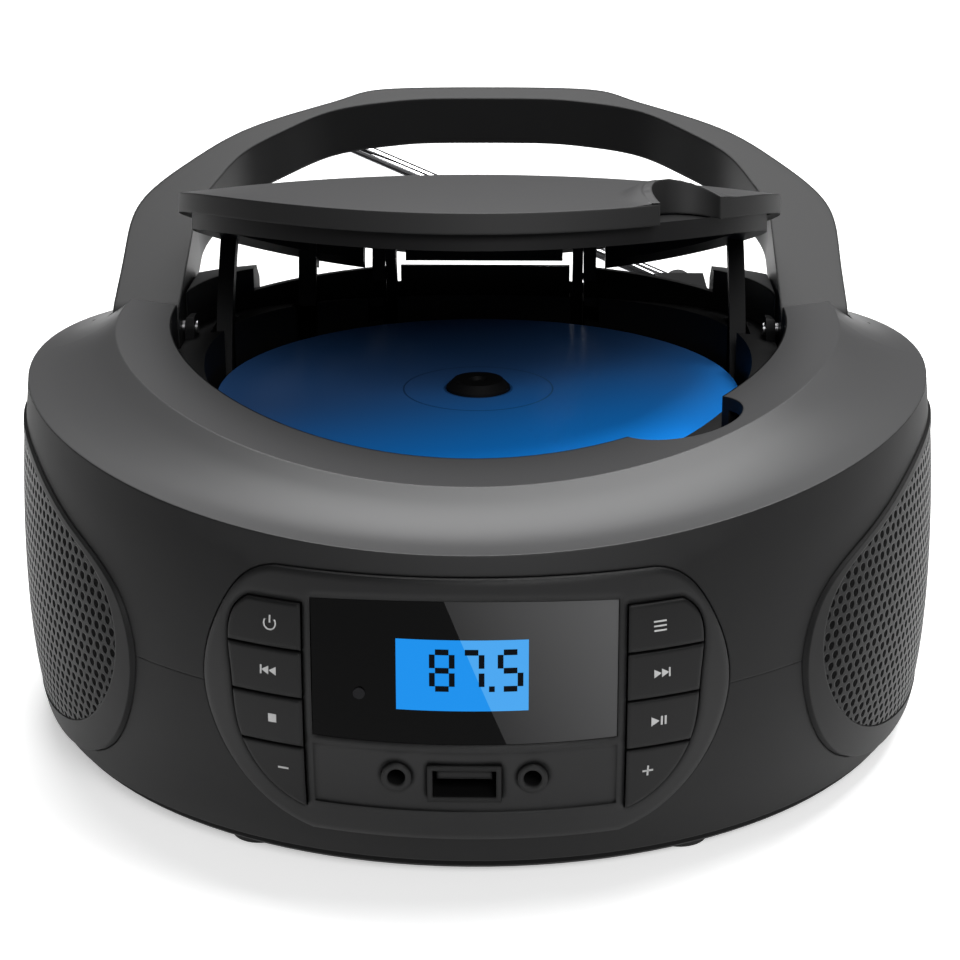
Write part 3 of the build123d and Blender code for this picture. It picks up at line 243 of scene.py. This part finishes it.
def plastic(name, colour, rough, metal=0.0, shine=0.5, grain=0.0, edge=0.0):
    """Moulded plastic, with a fine grain and softly rounded edges when asked for."""
    mat, tree, shader = fresh_material(name)
    shader.inputs["Base Color"].default_value = (*colour, 1)
    shader.inputs["Roughness"].default_value = rough
    shader.inputs["Metallic"].default_value = metal
    shader.inputs["Specular IOR Level"].default_value = shine
    soft = None
    if edge:
        soft = tree.nodes.new("ShaderNodeBevel")
        soft.samples = 6
        soft.inputs["Radius"].default_value = edge
        tree.links.new(soft.outputs["Normal"], shader.inputs["Normal"])
    if grain:
        where = tree.nodes.new("ShaderNodeTexCoord")
        noise = tree.nodes.new("ShaderNodeTexNoise")
        noise.inputs["Scale"].default_value = GRAIN_SCALE
        bump = tree.nodes.new("ShaderNodeBump")
        bump.inputs["Strength"].default_value = grain
        bump.inputs["Distance"].default_value = GRAIN_DEPTH
        tree.links.new(where.outputs["Object"], noise.inputs["Vector"])
        tree.links.new(noise.outputs["Fac"], bump.inputs["Height"])
        if soft:
            tree.links.new(soft.outputs["Normal"], bump.inputs["Normal"])
        tree.links.new(bump.outputs["Normal"], shader.inputs["Normal"])
    return mat


def shaded_uprights(name, top, side, rough, shine, low, high):
    """Plastic that is satin on its upward faces and duller on its upright ones, with painted shade that
    darkens the upright faces.
    """
    mat = plastic(name, top, rough, shine=shine, grain=SATIN_GRAIN, edge=0.0006)
    tree = mat.node_tree
    shader = tree.nodes["Principled BSDF"]
    upward = ramped(tree, coordinates(tree, "Normal")[2], low, high)
    # painted shade: upright faces get the darker side colour, a shaded copy of the top colour
    upright_shade_tone = two_colours(tree, upward, side, top)
    gloss = math_node(tree, "MULTIPLY", upward, UPRIGHT_ROUGH - rough)
    tree.links.new(math_node(tree, "SUBTRACT", UPRIGHT_ROUGH, gloss), shader.inputs["Roughness"])
    tree.links.new(upright_shade_tone, shader.inputs["Base Color"])
    return mat, upright_shade_tone


def lined_deck(name, colour, wall, rough):
    """Deck plastic, near black inside the disc's opening and under its finger notch."""
    # painted shade on the deck's upright faces, in the wall colour
    mat, upright_shade_tone = shaded_uprights(name, colour, wall, rough, 0.22, 0.2, 0.42)
    tree = mat.node_tree
    x, frame_y, z = coordinates(tree)
    y = math_node(tree, "SUBTRACT", frame_y, OPENING_Y)
    stretched = math_node(tree, "SUBTRACT", y, OPENING_STRETCH)
    back = math_node(tree, "MAXIMUM", stretched, math_node(tree, "MINIMUM", y, 0.0))
    inner = math_node(tree, "LESS_THAN", distance(tree, x, back), OPENING_RADIUS)
    narrow = math_node(tree, "LESS_THAN", math_node(tree, "ABSOLUTE", x), REAR_WALL_HALF)
    behind = math_node(tree, "MULTIPLY", math_node(tree, "GREATER_THAN", y, REAR_WALL_NEAR), narrow)
    rear = math_node(tree, "MULTIPLY", math_node(tree, "LESS_THAN", y, REAR_WALL_FAR), behind)
    notch_x = math_node(tree, "SUBTRACT", x, NOTCH_X)
    notch_y = math_node(tree, "SUBTRACT", frame_y, NOTCH_Y)
    in_notch = math_node(tree, "LESS_THAN", distance(tree, notch_x, notch_y), NOTCH_RADIUS)
    below = math_node(tree, "MULTIPLY", in_notch, math_node(tree, "LESS_THAN", z, NOTCH_TOP))
    lined = math_node(tree, "MAXIMUM", math_node(tree, "MAXIMUM", inner, rear), below)
    shader = tree.nodes["Principled BSDF"]
    tree.links.new(two_colours(tree, lined, upright_shade_tone, NEAR_BLACK), shader.inputs["Base Color"])
    return mat


def past_reflection_edge(tree):
    """How far to the right of the slanted edge of the window's painted reflection band a place lies."""
    x, _, z = coordinates(tree)
    fall = math_node(tree, "MULTIPLY", math_node(tree, "SUBTRACT", SLANT_TOP_Z, z), SLANT)
    return math_node(tree, "SUBTRACT", math_node(tree, "ADD", x, SLANT_TOP_LEFT), fall)


def sheen_window(name, colour):
    """Gloss window with a painted reflection: a pale slanted band in its colour that stands in for a lamp's
    reflection in its polished face.
    """
    mat = plastic(name, colour, 0.07, shine=0.04)
    tree = mat.node_tree
    past = past_reflection_edge(tree)
    # painted reflection: the window's colour turns pale grey right of the slanted edge
    fade = ramped(tree, past, 0.0, REFLECTION_FADE_WIDTH, 0.35, 1.0)
    reflection_amount = math_node(tree, "MULTIPLY", fade, math_node(tree, "GREATER_THAN", past, 0.0))
    shader = tree.nodes["Principled BSDF"]
    tree.links.new(two_colours(tree, reflection_amount, colour, REFLECTION_GREY), shader.inputs["Base Color"])
    return mat


def lit_field(name, colour):
    """Glowing display, with a paler blue painted under the window's slanted band as that band's reflection.
    """
    mat, tree, shader = fresh_material(name)
    shader.inputs["Base Color"].default_value = (0.001, 0.01, 0.03, 1)
    shader.inputs["Emission Strength"].default_value = 0.95
    shader.inputs["Roughness"].default_value = 0.3
    shader.inputs["Specular IOR Level"].default_value = 0.05
    # painted reflection: the display glows paler right of the slanted edge
    in_reflection = math_node(tree, "GREATER_THAN", past_reflection_edge(tree), 0.0)
    tree.links.new(two_colours(tree, in_reflection, colour, REFLECTED_BLUE), shader.inputs["Emission Color"])
    return mat


def punched_sheet(name, colour, pitch, radius):
    """Painted sheet with staggered round holes laid out by turn and height about the body's axis."""
    mat, tree, shader = fresh_material(name)
    x, y, z = coordinates(tree)
    row_height = pitch * ROW_SHARE
    depth = math_node(tree, "SUBTRACT", y, DECK_AXIS_Y)
    turn = math_node(tree, "ARCTAN2", depth, math_node(tree, "ABSOLUTE", x))
    along = math_node(tree, "MULTIPLY", turn, GRILLE_RADIUS / pitch)
    rise = math_node(tree, "DIVIDE", z, row_height)
    odd = math_node(tree, "FLOORED_MODULO", math_node(tree, "FLOOR", rise), 2.0)
    shifted = math_node(tree, "ADD", along, math_node(tree, "MULTIPLY", odd, 0.5))
    across = math_node(tree, "SUBTRACT", math_node(tree, "FRACT", shifted), 0.5)
    upward = math_node(tree, "SUBTRACT", math_node(tree, "FRACT", rise), 0.5)
    far = distance(tree, math_node(tree, "MULTIPLY", across, pitch),
                   math_node(tree, "MULTIPLY", upward, row_height))
    hole = math_node(tree, "LESS_THAN", far, radius)
    rough = math_node(tree, "ADD", math_node(tree, "MULTIPLY", hole, 0.55), 0.4)
    tree.links.new(two_colours(tree, hole, colour, HOLE_BLACK), shader.inputs["Base Color"])
    tree.links.new(rough, shader.inputs["Roughness"])
    shader.inputs["Specular IOR Level"].default_value = 0.08
    bump = tree.nodes.new("ShaderNodeBump")
    bump.inputs["Strength"].default_value = 1.0
    bump.inputs["Distance"].default_value = HOLE_DEPTH
    tree.links.new(ramped(tree, far, radius * 0.8, radius * 1.25), bump.inputs["Height"])
    tree.links.new(bump.outputs["Normal"], shader.inputs["Normal"])
    return mat


def label_disc(name, colour):
    """Blue disc face with painted shade toward the back left and a painted sheen toward the front right, a
    dim middle and a fine ring.
    """
    mat, tree, shader = fresh_material(name)
    x, frame_y, _ = coordinates(tree)
    y = math_node(tree, "SUBTRACT", frame_y, SHIFT_Y)
    rings = tree.nodes.new("ShaderNodeValToRGB")
    rings.color_ramp.interpolation = "CONSTANT"
    stops = rings.color_ramp.elements
    stops[0].position, stops[0].color = 0.0, (0.5, 0.5, 0.5, 1)
    stops[1].position, stops[1].color = HUB_TONE_END / DISC_RAMP, (1, 1, 1, 1)
    for radius, level in zip(FINE_RING, (0.5, 1.0)):
        stops.new(radius / DISC_RAMP).color = (level, level, level, 1)
    tree.links.new(math_node(tree, "MULTIPLY", distance(tree, x, y), 1 / DISC_RAMP), rings.inputs["Fac"])
    # painted light: the disc's blue fades to its painted shade away from the front right
    toward_light = math_node(tree, "SUBTRACT", math_node(tree, "MULTIPLY", x, 0.6), y)
    sheen = ramped(tree, toward_light, -0.02, 0.06, smooth=True)
    lit_and_shaded_blue = two_colours(tree, sheen, DISC_SHADE, colour)
    ringed = two_colours(tree, 1.0, lit_and_shaded_blue, rings.outputs["Color"], "MULTIPLY")
    tree.links.new(ringed, shader.inputs["Base Color"])
    shader.inputs["Roughness"].default_value = 0.32
    shader.inputs["Specular IOR Level"].default_value = 0.3
    return mat


def clear_selection():
    """Leaves nothing selected, in object mode."""
    if bpy.context.object and bpy.context.object.mode != "OBJECT":
        bpy.ops.object.mode_set(mode="OBJECT")
    bpy.ops.object.select_all(action="DESELECT")


def pick(obj):
    """Makes an object the only selected one, and the active one."""
    clear_selection()
    obj.select_set(True)
    bpy.context.view_layer.objects.active = obj


def bake_place():
    """Puts the active object's place, turn and scale into its mesh, and returns it."""
    bpy.ops.object.transform_apply(location=True, rotation=True, scale=True)
    return bpy.context.object


def dress(name, mat):
    """Gives a CAD node its finish."""
    obj = nodes[name]
    obj.data.materials.clear()
    obj.data.materials.append(mat)


def settle(obj, name, mat, body):
    """Places a finished piece: its place in its mesh, its finish, and the body that it rides on."""
    pick(obj)
    bake_place()
    obj.name = name
    obj.data.name = name
    obj.data.materials.clear()
    obj.data.materials.append(mat)
    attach(obj, body)


def join_all(parts):
    """Joins several pieces into one mesh."""
    clear_selection()
    for part in parts:
        part.select_set(True)
    bpy.context.view_layer.objects.active = parts[0]
    if len(parts) > 1:
        bpy.ops.object.join()
    return bpy.context.view_layer.objects.active


def crown(x, y):
    """Height of the shut lid's crowned top over a place."""
    ring = math.sqrt(CROWN_ACROSS ** 2 - x * x) + CROWN_ALONG - CROWN_ACROSS
    return CROWN.z - CROWN_ALONG + math.sqrt(ring ** 2 - (y - CROWN.y) ** 2)


def brow_rise(away):
    """How high the brow stands over the lid's top, in the direction away from the scoop's middle."""
    aslant = (away.x * math.cos(SCOOP_TURN) + away.y * math.sin(SCOOP_TURN)) / away.length
    return BROW_RISE * math.sqrt(max(0.0, 1 - aslant * aslant))


def merged_copy(source, name):
    """Copy of a CAD node's mesh with its triangles joined up."""
    obj = bpy.data.objects.new(name, nodes[source].data.copy())
    bpy.context.scene.collection.objects.link(obj)
    pick(obj)
    bpy.ops.object.mode_set(mode="EDIT")
    bpy.ops.mesh.select_all(action="SELECT")
    bpy.ops.mesh.remove_doubles(threshold=WELD)
    bpy.ops.mesh.customdata_custom_splitnormals_clear()
    bpy.ops.object.mode_set(mode="OBJECT")
    return obj


def lower_hood(cover, opened):
    """Lowers the hood round the lid's scoop to the brow's height."""
    shut = opened.inverted()
    for vert in cover.data.vertices:
        place = shut @ vert.co
        away = Vector((place.x - SCOOP.x, place.y - SCOOP.y))
        on_brow = away.length < SCOOP_RADIUS + BROW_WIDTH + BROW_MARGIN
        if on_brow and place.z - crown(place.x, place.y) > HOOD_LEAST:
            share = 1.0 if away.length < SCOOP_RADIUS + BROW_WIDTH / 2 else BROW_SHOULDER
            place.z = crown(place.x, place.y) + share * brow_rise(away)
            vert.co = opened @ place


def brow_slope(opened):
    """Sheet that slopes from the brow out over the lid's top, kept within the lid's edge."""
    clear_selection()
    bpy.ops.mesh.primitive_grid_add(x_subdivisions=48, y_subdivisions=8, size=1)
    slope = bpy.context.object
    for vert in slope.data.vertices:
        turn = vert.co.x * BROW_TURN - SCOOP_TURN
        share = vert.co.y + 0.5
        reach = SCOOP_RADIUS + BROW_WIDTH - SLOPE_OVERLAP + share * BROW_RUN
        away = Vector((math.sin(turn), math.cos(turn))) * reach
        x, y = SCOOP.x + away.x, SCOOP.y + away.y
        far = math.hypot(x, y - OPENING_Y)
        if far > LID_EDGE:
            x *= LID_EDGE / far
            y = OPENING_Y + (y - OPENING_Y) * LID_EDGE / far
        fall = 1 - share * share * (3 - 2 * share)
        height = crown(x, y) + BROW_SHOULDER * fall * brow_rise(away) - SLOPE_SINK * share
        vert.co = opened @ Vector((x, y, height))
    return slope


def flat_bar(x, z, width, height):
    """Thin upright bar facing the front, drawn at the origin of its symbol."""
    clear_selection()
    bpy.ops.mesh.primitive_cube_add(size=1, location=(x, 0, z), scale=(width, PRINT_THICK, height))
    return bake_place()


def flat_wedge(x, size, point):
    """Thin triangle pointing right (1) or left (-1)."""
    clear_selection()
    bpy.ops.mesh.primitive_cylinder_add(vertices=3, radius=size * 0.62, depth=PRINT_THICK, location=(x, 0, 0),
                                        rotation=(math.pi / 2, 0, 0))
    obj = bake_place()
    bpy.ops.object.mode_set(mode="EDIT")
    bpy.ops.mesh.select_all(action="SELECT")
    bpy.ops.transform.rotate(value=math.radians(90 * point), orient_axis="Y", center_override=(x, 0, 0))
    bpy.ops.object.mode_set(mode="OBJECT")
    tip = max(obj.data.vertices, key=lambda vert: point * (vert.co.x - x))
    if point * (tip.co.x - x) < size * 0.5:
        for vert in obj.data.vertices:
            vert.co.x = 2 * x - vert.co.x
    return obj


def broken_ring():
    """Thin ring, open at the top."""
    clear_selection()
    bpy.ops.mesh.primitive_torus_add(major_radius=0.00125, minor_radius=0.00016, major_segments=28,
                                     minor_segments=8, rotation=(math.pi / 2, 0, 0))
    ring = bake_place()
    bpy.ops.object.mode_set(mode="EDIT")
    bpy.ops.mesh.select_all(action="DESELECT")
    bpy.ops.object.mode_set(mode="OBJECT")
    for vert in ring.data.vertices:
        vert.select = vert.co.z > 0.00095
    bpy.ops.object.mode_set(mode="EDIT")
    bpy.ops.mesh.delete(type="VERT")
    bpy.ops.object.mode_set(mode="OBJECT")
    return ring


def skip_parts(point):
    """Bar with two wedges that point at it, to the right (1) or to the left (-1)."""
    return [flat_bar(point * 0.0019, 0, 0.00032, 0.0018), flat_wedge(point * 0.0008, 0.0016, point),
            flat_wedge(-point * 0.0008, 0.0016, point)]


def symbol_parts(key):
    """Pieces of one key's symbol."""
    if key == "power":
        return [broken_ring(), flat_bar(0, 0.00085, 0.0003, 0.0015)]
    if key == "previous":
        return skip_parts(-1)
    if key == "next":
        return skip_parts(1)
    if key == "stop":
        return [flat_bar(0, 0, 0.0017, 0.0017)]
    if key == "play":
        return [flat_wedge(-0.0009, 0.0018, 1), flat_bar(0.0007, 0, 0.0004, 0.0018),
                flat_bar(0.0015, 0, 0.0004, 0.0018)]
    if key == "mode":
        return [flat_bar(0, z, 0.0026, 0.0003) for z in (-0.0009, 0, 0.0009)]
    level = flat_bar(0, 0, 0.0022, 0.00036)
    if key == "volume_down":
        return [level]
    return [level, flat_bar(0, 0, 0.00036, 0.0022)]


def front_of(name, x, z):
    """Front surface of a CAD node at a place, found by a ray from the front."""
    hit, where, normal, _ = nodes[name].ray_cast(Vector((x, -0.3, z)), Vector((0, 1, 0)))
    if not hit:
        raise RuntimeError(f"{name} has no surface at {x}, {z}")
    return where, normal


def print_symbol(key, x, z, ink, lift):
    """Lays a key's symbol on its front, turned to its surface."""
    obj = join_all(symbol_parts(key))
    where, normal = front_of(f"button_{key}", x, z)
    turn = math.atan2(normal.x, -normal.y)
    tip = math.asin(max(-1, min(1, normal.z)))
    place = Matrix.Translation(where + normal * lift) @ Matrix.Rotation(turn, 4, "Z")
    obj.data.transform(place @ Matrix.Rotation(-tip, 4, "X"))
    settle(obj, f"symbol_{key}", ink, f"key_{key}")


def digit_parts(digit, x, height):
    """Bars of one seven-segment digit standing at x."""
    half = height / 2
    width = height * DIGIT_SLIMNESS
    stroke = height * STROKE_SHARE
    level = width - stroke * 1.1
    upright = half - stroke * 0.9
    bars = {"a": (0, half, level, stroke), "g": (0, 0, level, stroke), "d": (0, -half, level, stroke),
            "b": (width / 2, half / 2, stroke, upright), "c": (width / 2, -half / 2, stroke, upright),
            "f": (-width / 2, half / 2, stroke, upright), "e": (-width / 2, -half / 2, stroke, upright)}
    parts = []
    for segment in {"8": "abcdefg", "7": "abc", "5": "afgcd"}[digit]:
        dx, dz, wide, high = bars[segment]
        parts.append(flat_bar(x + dx, DIGIT_Z + dz, wide, high))
    return parts


class FinishCabinet(bpy.types.Operator):
    """Gives the cabinet, handle, keys and fittings their plastics and metals"""
    bl_idname = "cdradio.finish_cabinet"
    bl_label = "Finish cabinet"

    def execute(self, context):
        colours = context.scene.cdradio_colours
        deck = lined_deck("satin deck grey", colours.deck, colours.wall, 0.35)
        # painted shade: the speaker pods take the walls' shaded grey
        wall = plastic("fine matte wall", colours.wall, 0.55, shine=0.16, grain=0.08, edge=0.0005)
        grip = plastic("satin handle grey", colours.handle, 0.42, shine=0.12, grain=SATIN_GRAIN, edge=0.0009)
        black = plastic("matte black", (0.0035, 0.0035, 0.0038), 0.6, shine=0.15)
        keys = plastic("key black", (0.006, 0.006, 0.0062), 0.4, shine=0.16, edge=0.0012)
        bezel = plastic("bezel black", (0.008, 0.008, 0.0083), 0.4, shine=0.22, edge=0.0022)
        window = sheen_window("polished window", (0.0012, 0.0012, 0.0013))
        rubber = plastic("foot rubber", (0.012, 0.012, 0.012), 0.8)
        chrome = plastic("polished tube", (0.72, 0.72, 0.74), 0.12, metal=1.0)
        steel = plastic("plain steel", (0.42, 0.42, 0.43), 0.35, metal=1.0)
        board = plastic("board green", (0.02, 0.09, 0.04), 0.5)
        paper = plastic("cone paper", (0.012, 0.012, 0.012), 0.8)
        finishes = (
            (deck, "cabinet_grey", ("upper_cabinet",)),
            (deck, "cabinet_dark", ("lower_cabinet",)),
            (grip, "handle_grey", ("handle",)),
            (black, "black_plastic", ("base_plate", "cd_well", "lid_frame", "deck_chassis", "optical_pickup",
                                      "antenna_base", "power_inlet", "speaker_driver_left",
                                      "speaker_driver_right")),
            (keys, "black_plastic", ("usb_port",)),
            (rubber, "rubber", ("feet",)),
            (bezel, "panel_black", ("front_panel",)),
            (wall, "panel_black", ("speaker_pod_left", "speaker_pod_right")),
            (paper, "cone_paper", ("speaker_cone_left", "speaker_cone_right")),
            (window, "lens", ("display_lens",)),
            (board, "board", ("key_board", "main_board")),
            (bezel, "jack_plastic", ("aux_jack", "headphone_jack")),
            (steel, "steel", ("spindle_motor", "pickup_rails", "lid_hinge_pins", "handle_pins",
                              "transformer")),
            (chrome, "chrome", ("antenna_tube", "antenna_middle", "antenna_tip")),
            (keys, "button_black", [name for name in nodes if name.startswith("button_")]),
            (black, "polycarbonate", ("spindle_hub",)),
            (black, "lcd_blue", ("lcd_module",)),
        )
        for finish, slot, names in finishes:
            for name in names:
                dress(name, finish)
        return {"FINISHED"}


class ShapeLid(bpy.types.Operator):
    """Makes the lid's cover, with a brow that rises smoothly over its finger scoop"""
    bl_idname = "cdradio.shape_lid"
    bl_label = "Shape lid"

    def execute(self, context):
        colours = context.scene.cdradio_colours
        # painted shade on the lid's upright edge, in the lid side colour
        finish, _ = shaded_uprights("satin lid grey", colours.lid, colours.lid_side_shade, 0.42, 0.2, 0.25, 0.6)
        hinge = Matrix.Translation(LID_HINGE)
        opened = hinge @ Matrix.Rotation(-LID_OPEN, 4, "X") @ hinge.inverted()
        cover = merged_copy("lid_cover", "lid_top")
        lower_hood(cover, opened)
        lid = join_all([cover, brow_slope(opened)])
        bpy.ops.object.shade_smooth_by_angle(angle=SMOOTH_BELOW)
        settle(lid, "lid_top", finish, "lid")
        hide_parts("lid_cover")
        return {"FINISHED"}


class FinishGrilles(bpy.types.Operator):
    """Paints the two speaker grilles and gives them their holes"""
    bl_idname = "cdradio.finish_grilles"
    bl_label = "Finish grilles"

    def execute(self, context):
        sizes = context.scene.cdradio_sizes
        colours = context.scene.cdradio_colours
        sheet = punched_sheet("punched grille", colours.grille, sizes.hole_pitch, sizes.hole_radius)
        for side in ("left", "right"):
            dress(f"speaker_grille_{side}", sheet)
        return {"FINISHED"}


class FinishDisc(bpy.types.Operator):
    """Colours the disc's label side"""
    bl_idname = "cdradio.finish_disc"
    bl_label = "Finish disc"

    def execute(self, context):
        dress("disc", label_disc("disc label", context.scene.cdradio_colours.disc))
        return {"FINISHED"}


class MakeKeySymbols(bpy.types.Operator):
    """Prints the plain symbols on the eight keys"""
    bl_idname = "cdradio.make_key_symbols"
    bl_label = "Make key symbols"

    def execute(self, context):
        lift = context.scene.cdradio_sizes.symbol_lift
        ink = plastic("key print", (0.62, 0.62, 0.62), 0.5)
        for side, keys in KEY_SIDES:
            for key, (away, z) in zip(keys, KEY_ROWS):
                print_symbol(key, side * away, z, ink, lift)
        return {"FINISHED"}


class MakeDisplay(bpy.types.Operator):
    """Builds the lit field, its digits and the remote sensor's window"""
    bl_idname = "cdradio.make_display"
    bl_label = "Make display"

    def execute(self, context):
        self.make_field(context.scene.cdradio_colours.display)
        self.make_digits(context.scene.cdradio_sizes.digit_height)
        self.make_sensor()
        return {"FINISHED"}

    def make_field(self, colour):
        clear_selection()
        middle = (sum(FIELD_X) / 2, 0, sum(FIELD_Z) / 2)
        bpy.ops.mesh.primitive_grid_add(x_subdivisions=20, y_subdivisions=14, size=1, location=middle,
                                        rotation=(math.pi / 2, 0, 0))
        field = bpy.context.object
        field.scale = (FIELD_X[1] - FIELD_X[0], FIELD_Z[1] - FIELD_Z[0], 1)
        bake_place()
        for vert in field.data.vertices:
            where, _ = front_of("display_lens", vert.co.x, vert.co.z)
            vert.co.y = where.y - FIELD_THICK
        solid = field.modifiers.new("thickness", "SOLIDIFY")
        solid.thickness = FIELD_THICK
        bpy.ops.object.modifier_apply(modifier=solid.name)
        settle(field, "display_field", lit_field("lit display", colour), "cabinet")

    def make_digits(self, height):
        stroke = height * STROKE_SHARE
        parts = []
        for digit, x in DIGITS:
            parts += digit_parts(digit, x, height)
        parts.append(flat_bar(POINT_X, DIGIT_Z - height / 2, stroke, stroke))
        digits = join_all(parts)
        for vert in digits.data.vertices:
            where, _ = front_of("display_lens", vert.co.x, vert.co.z)
            vert.co.y += where.y - DIGIT_LIFT
        ink = plastic("display digit", (0.001, 0.002, 0.004), 0.6, shine=0.05)
        settle(digits, "display_digits", ink, "cabinet")

    def make_sensor(self):
        clear_selection()
        front, _ = front_of("display_lens", SENSOR_X, SENSOR_Z)
        bpy.ops.mesh.primitive_cylinder_add(vertices=24, radius=SENSOR_RADIUS, depth=SENSOR_DEPTH,
                                            location=(SENSOR_X, front.y, SENSOR_Z),
                                            rotation=(math.pi / 2, 0, 0))
        tint = plastic("sensor window", (0.008, 0.008, 0.009), 0.5, shine=0.1)
        settle(bpy.context.object, "remote_sensor", tint, "cabinet")


class SetStage(bpy.types.Operator):
    """Adds the pale floor, the soft lights and the camera"""
    bl_idname = "cdradio.set_stage"
    bl_label = "Set stage"

    def execute(self, context):
        scene = context.scene
        scene.view_settings.view_transform = "Standard"
        self.lay_floor()
        self.fill_air(scene)
        self.hang_lamps(scene)
        self.place_camera(scene)
        return {"FINISHED"}

    def lay_floor(self):
        """Pale floor that keeps the shadow near the radio, and glows plain white further off."""
        mat, tree, shader = fresh_material("pale floor")
        shader.inputs["Base Color"].default_value = (0.9, 0.9, 0.9, 1)
        shader.inputs["Roughness"].default_value = 0.9
        where = tree.nodes.new("ShaderNodeTexCoord")
        away = tree.nodes.new("ShaderNodeVectorMath")
        away.operation = "LENGTH"
        tree.links.new(where.outputs["Object"], away.inputs[0])
        glow = tree.nodes.new("ShaderNodeEmission")
        strength = ramped(tree, away.outputs["Value"], 0.3, 1.3, 0.45, 1.0, smooth=True)
        tree.links.new(strength, glow.inputs["Strength"])
        shown = tree.nodes.new("ShaderNodeAddShader")
        tree.links.new(shader.outputs[0], shown.inputs[0])
        tree.links.new(glow.outputs[0], shown.inputs[1])
        dim = tree.nodes.new("ShaderNodeBsdfDiffuse")
        dim.inputs["Color"].default_value = (0.3, 0.3, 0.3, 1)
        path = tree.nodes.new("ShaderNodeLightPath")
        choice = tree.nodes.new("ShaderNodeMixShader")
        seen = math_node(tree, "MAXIMUM", path.outputs["Is Camera Ray"], path.outputs["Is Glossy Ray"])
        tree.links.new(seen, choice.inputs["Fac"])
        tree.links.new(dim.outputs[0], choice.inputs[1])
        tree.links.new(shown.outputs[0], choice.inputs[2])
        tree.links.new(choice.outputs[0], tree.nodes["Material Output"].inputs["Surface"])
        clear_selection()
        bpy.ops.mesh.primitive_plane_add(size=12, location=(0, 0, -0.0002))
        floor = bpy.context.object
        floor.name = "floor"
        floor.data.materials.append(mat)

    def fill_air(self, scene):
        """White behind everything for the camera, and a low even light for the rest."""
        world = bpy.data.worlds.new("studio air")
        scene.world = world
        world.use_nodes = True
        tree = world.node_tree
        back = tree.nodes["Background"]
        back.inputs["Color"].default_value = (1, 1, 1, 1)
        path = tree.nodes.new("ShaderNodeLightPath")
        camera_share = math_node(tree, "MULTIPLY", path.outputs["Is Camera Ray"], 0.9)
        tree.links.new(math_node(tree, "ADD", camera_share, 0.1), back.inputs["Strength"])

    def hang_lamps(self, scene):
        lamps = (("top softbox", (0.14, 0.3, 1.1), (0.0, 0.0, 0.07), 1.0, 22.0),
                 ("right softbox", (0.9, 0.5, 0.6), (0.0, 0.0, 0.06), 0.6, 0.8),
                 ("front softbox", (0.28, -1.05, 0.78), (0.0, 0.0, 0.07), 0.7, 9.0))
        for name, place, aim, size, watts in lamps:
            lamp = bpy.data.lights.new(name, "AREA")
            lamp.shape = "RECTANGLE"
            lamp.size = size
            lamp.size_y = size * 0.7
            lamp.energy = watts
            obj = bpy.data.objects.new(name, lamp)
            scene.collection.objects.link(obj)
            obj.location = place
            obj.rotation_euler = (Vector(aim) - Vector(place)).to_track_quat("-Z", "Y").to_euler()

    def place_camera(self, scene):
        eye = bpy.data.cameras.new("photo view")
        eye.sensor_width = SENSOR_WIDTH
        eye.lens = FOCAL_PIXELS / PHOTO_PIXELS * SENSOR_WIDTH
        eye.clip_end = 50
        camera = bpy.data.objects.new("photo view", eye)
        scene.collection.objects.link(camera)
        ahead = EYE_AHEAD.normalized()
        right = ahead.cross(EYE_UP.normalized()).normalized()
        turn = Matrix((right, right.cross(ahead), -ahead)).transposed().to_4x4()
        camera.matrix_world = Matrix.Translation(EYE) @ turn
        scene.camera = camera


class CdRadioPanel(bpy.types.Panel):
    """Lists the radio's sizes, colours and steps"""
    bl_idname = "VIEW3D_PT_cdradio"
    bl_label = "CD radio"
    bl_space_type = "VIEW_3D"
    bl_region_type = "UI"
    bl_category = "CD radio"

    def draw(self, context):
        layout = self.layout
        sizes = context.scene.cdradio_sizes
        colours = context.scene.cdradio_colours
        for prop in ("hole_pitch", "hole_radius", "symbol_lift", "digit_height"):
            layout.prop(sizes, prop)
        for prop in ("deck", "wall", "lid", "lid_side_shade", "handle", "grille", "display", "disc"):
            layout.prop(colours, prop)
        for operator in OPERATORS:
            layout.operator(operator.bl_idname)


OPERATORS = (FinishCabinet, ShapeLid, FinishGrilles, FinishDisc, MakeKeySymbols, MakeDisplay, SetStage)
CLASSES = (CabinetSizes, CabinetColours) + OPERATORS + (CdRadioPanel,)


def register():
    for cls in CLASSES:
        bpy.utils.register_class(cls)
    bpy.types.Scene.cdradio_sizes = bpy.props.PointerProperty(type=CabinetSizes)
    bpy.types.Scene.cdradio_colours = bpy.props.PointerProperty(type=CabinetColours)


def unregister():
    del bpy.types.Scene.cdradio_colours
    del bpy.types.Scene.cdradio_sizes
    for cls in reversed(CLASSES):
        bpy.utils.unregister_class(cls)


def main():
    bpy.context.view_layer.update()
    register()
    bpy.ops.cdradio.finish_cabinet()
    bpy.ops.cdradio.shape_lid()
    bpy.ops.cdradio.finish_grilles()
    bpy.ops.cdradio.finish_disc()
    bpy.ops.cdradio.make_key_symbols()
    bpy.ops.cdradio.make_display()
    bpy.ops.cdradio.set_stage()


if __name__ == "__main__":
    main()
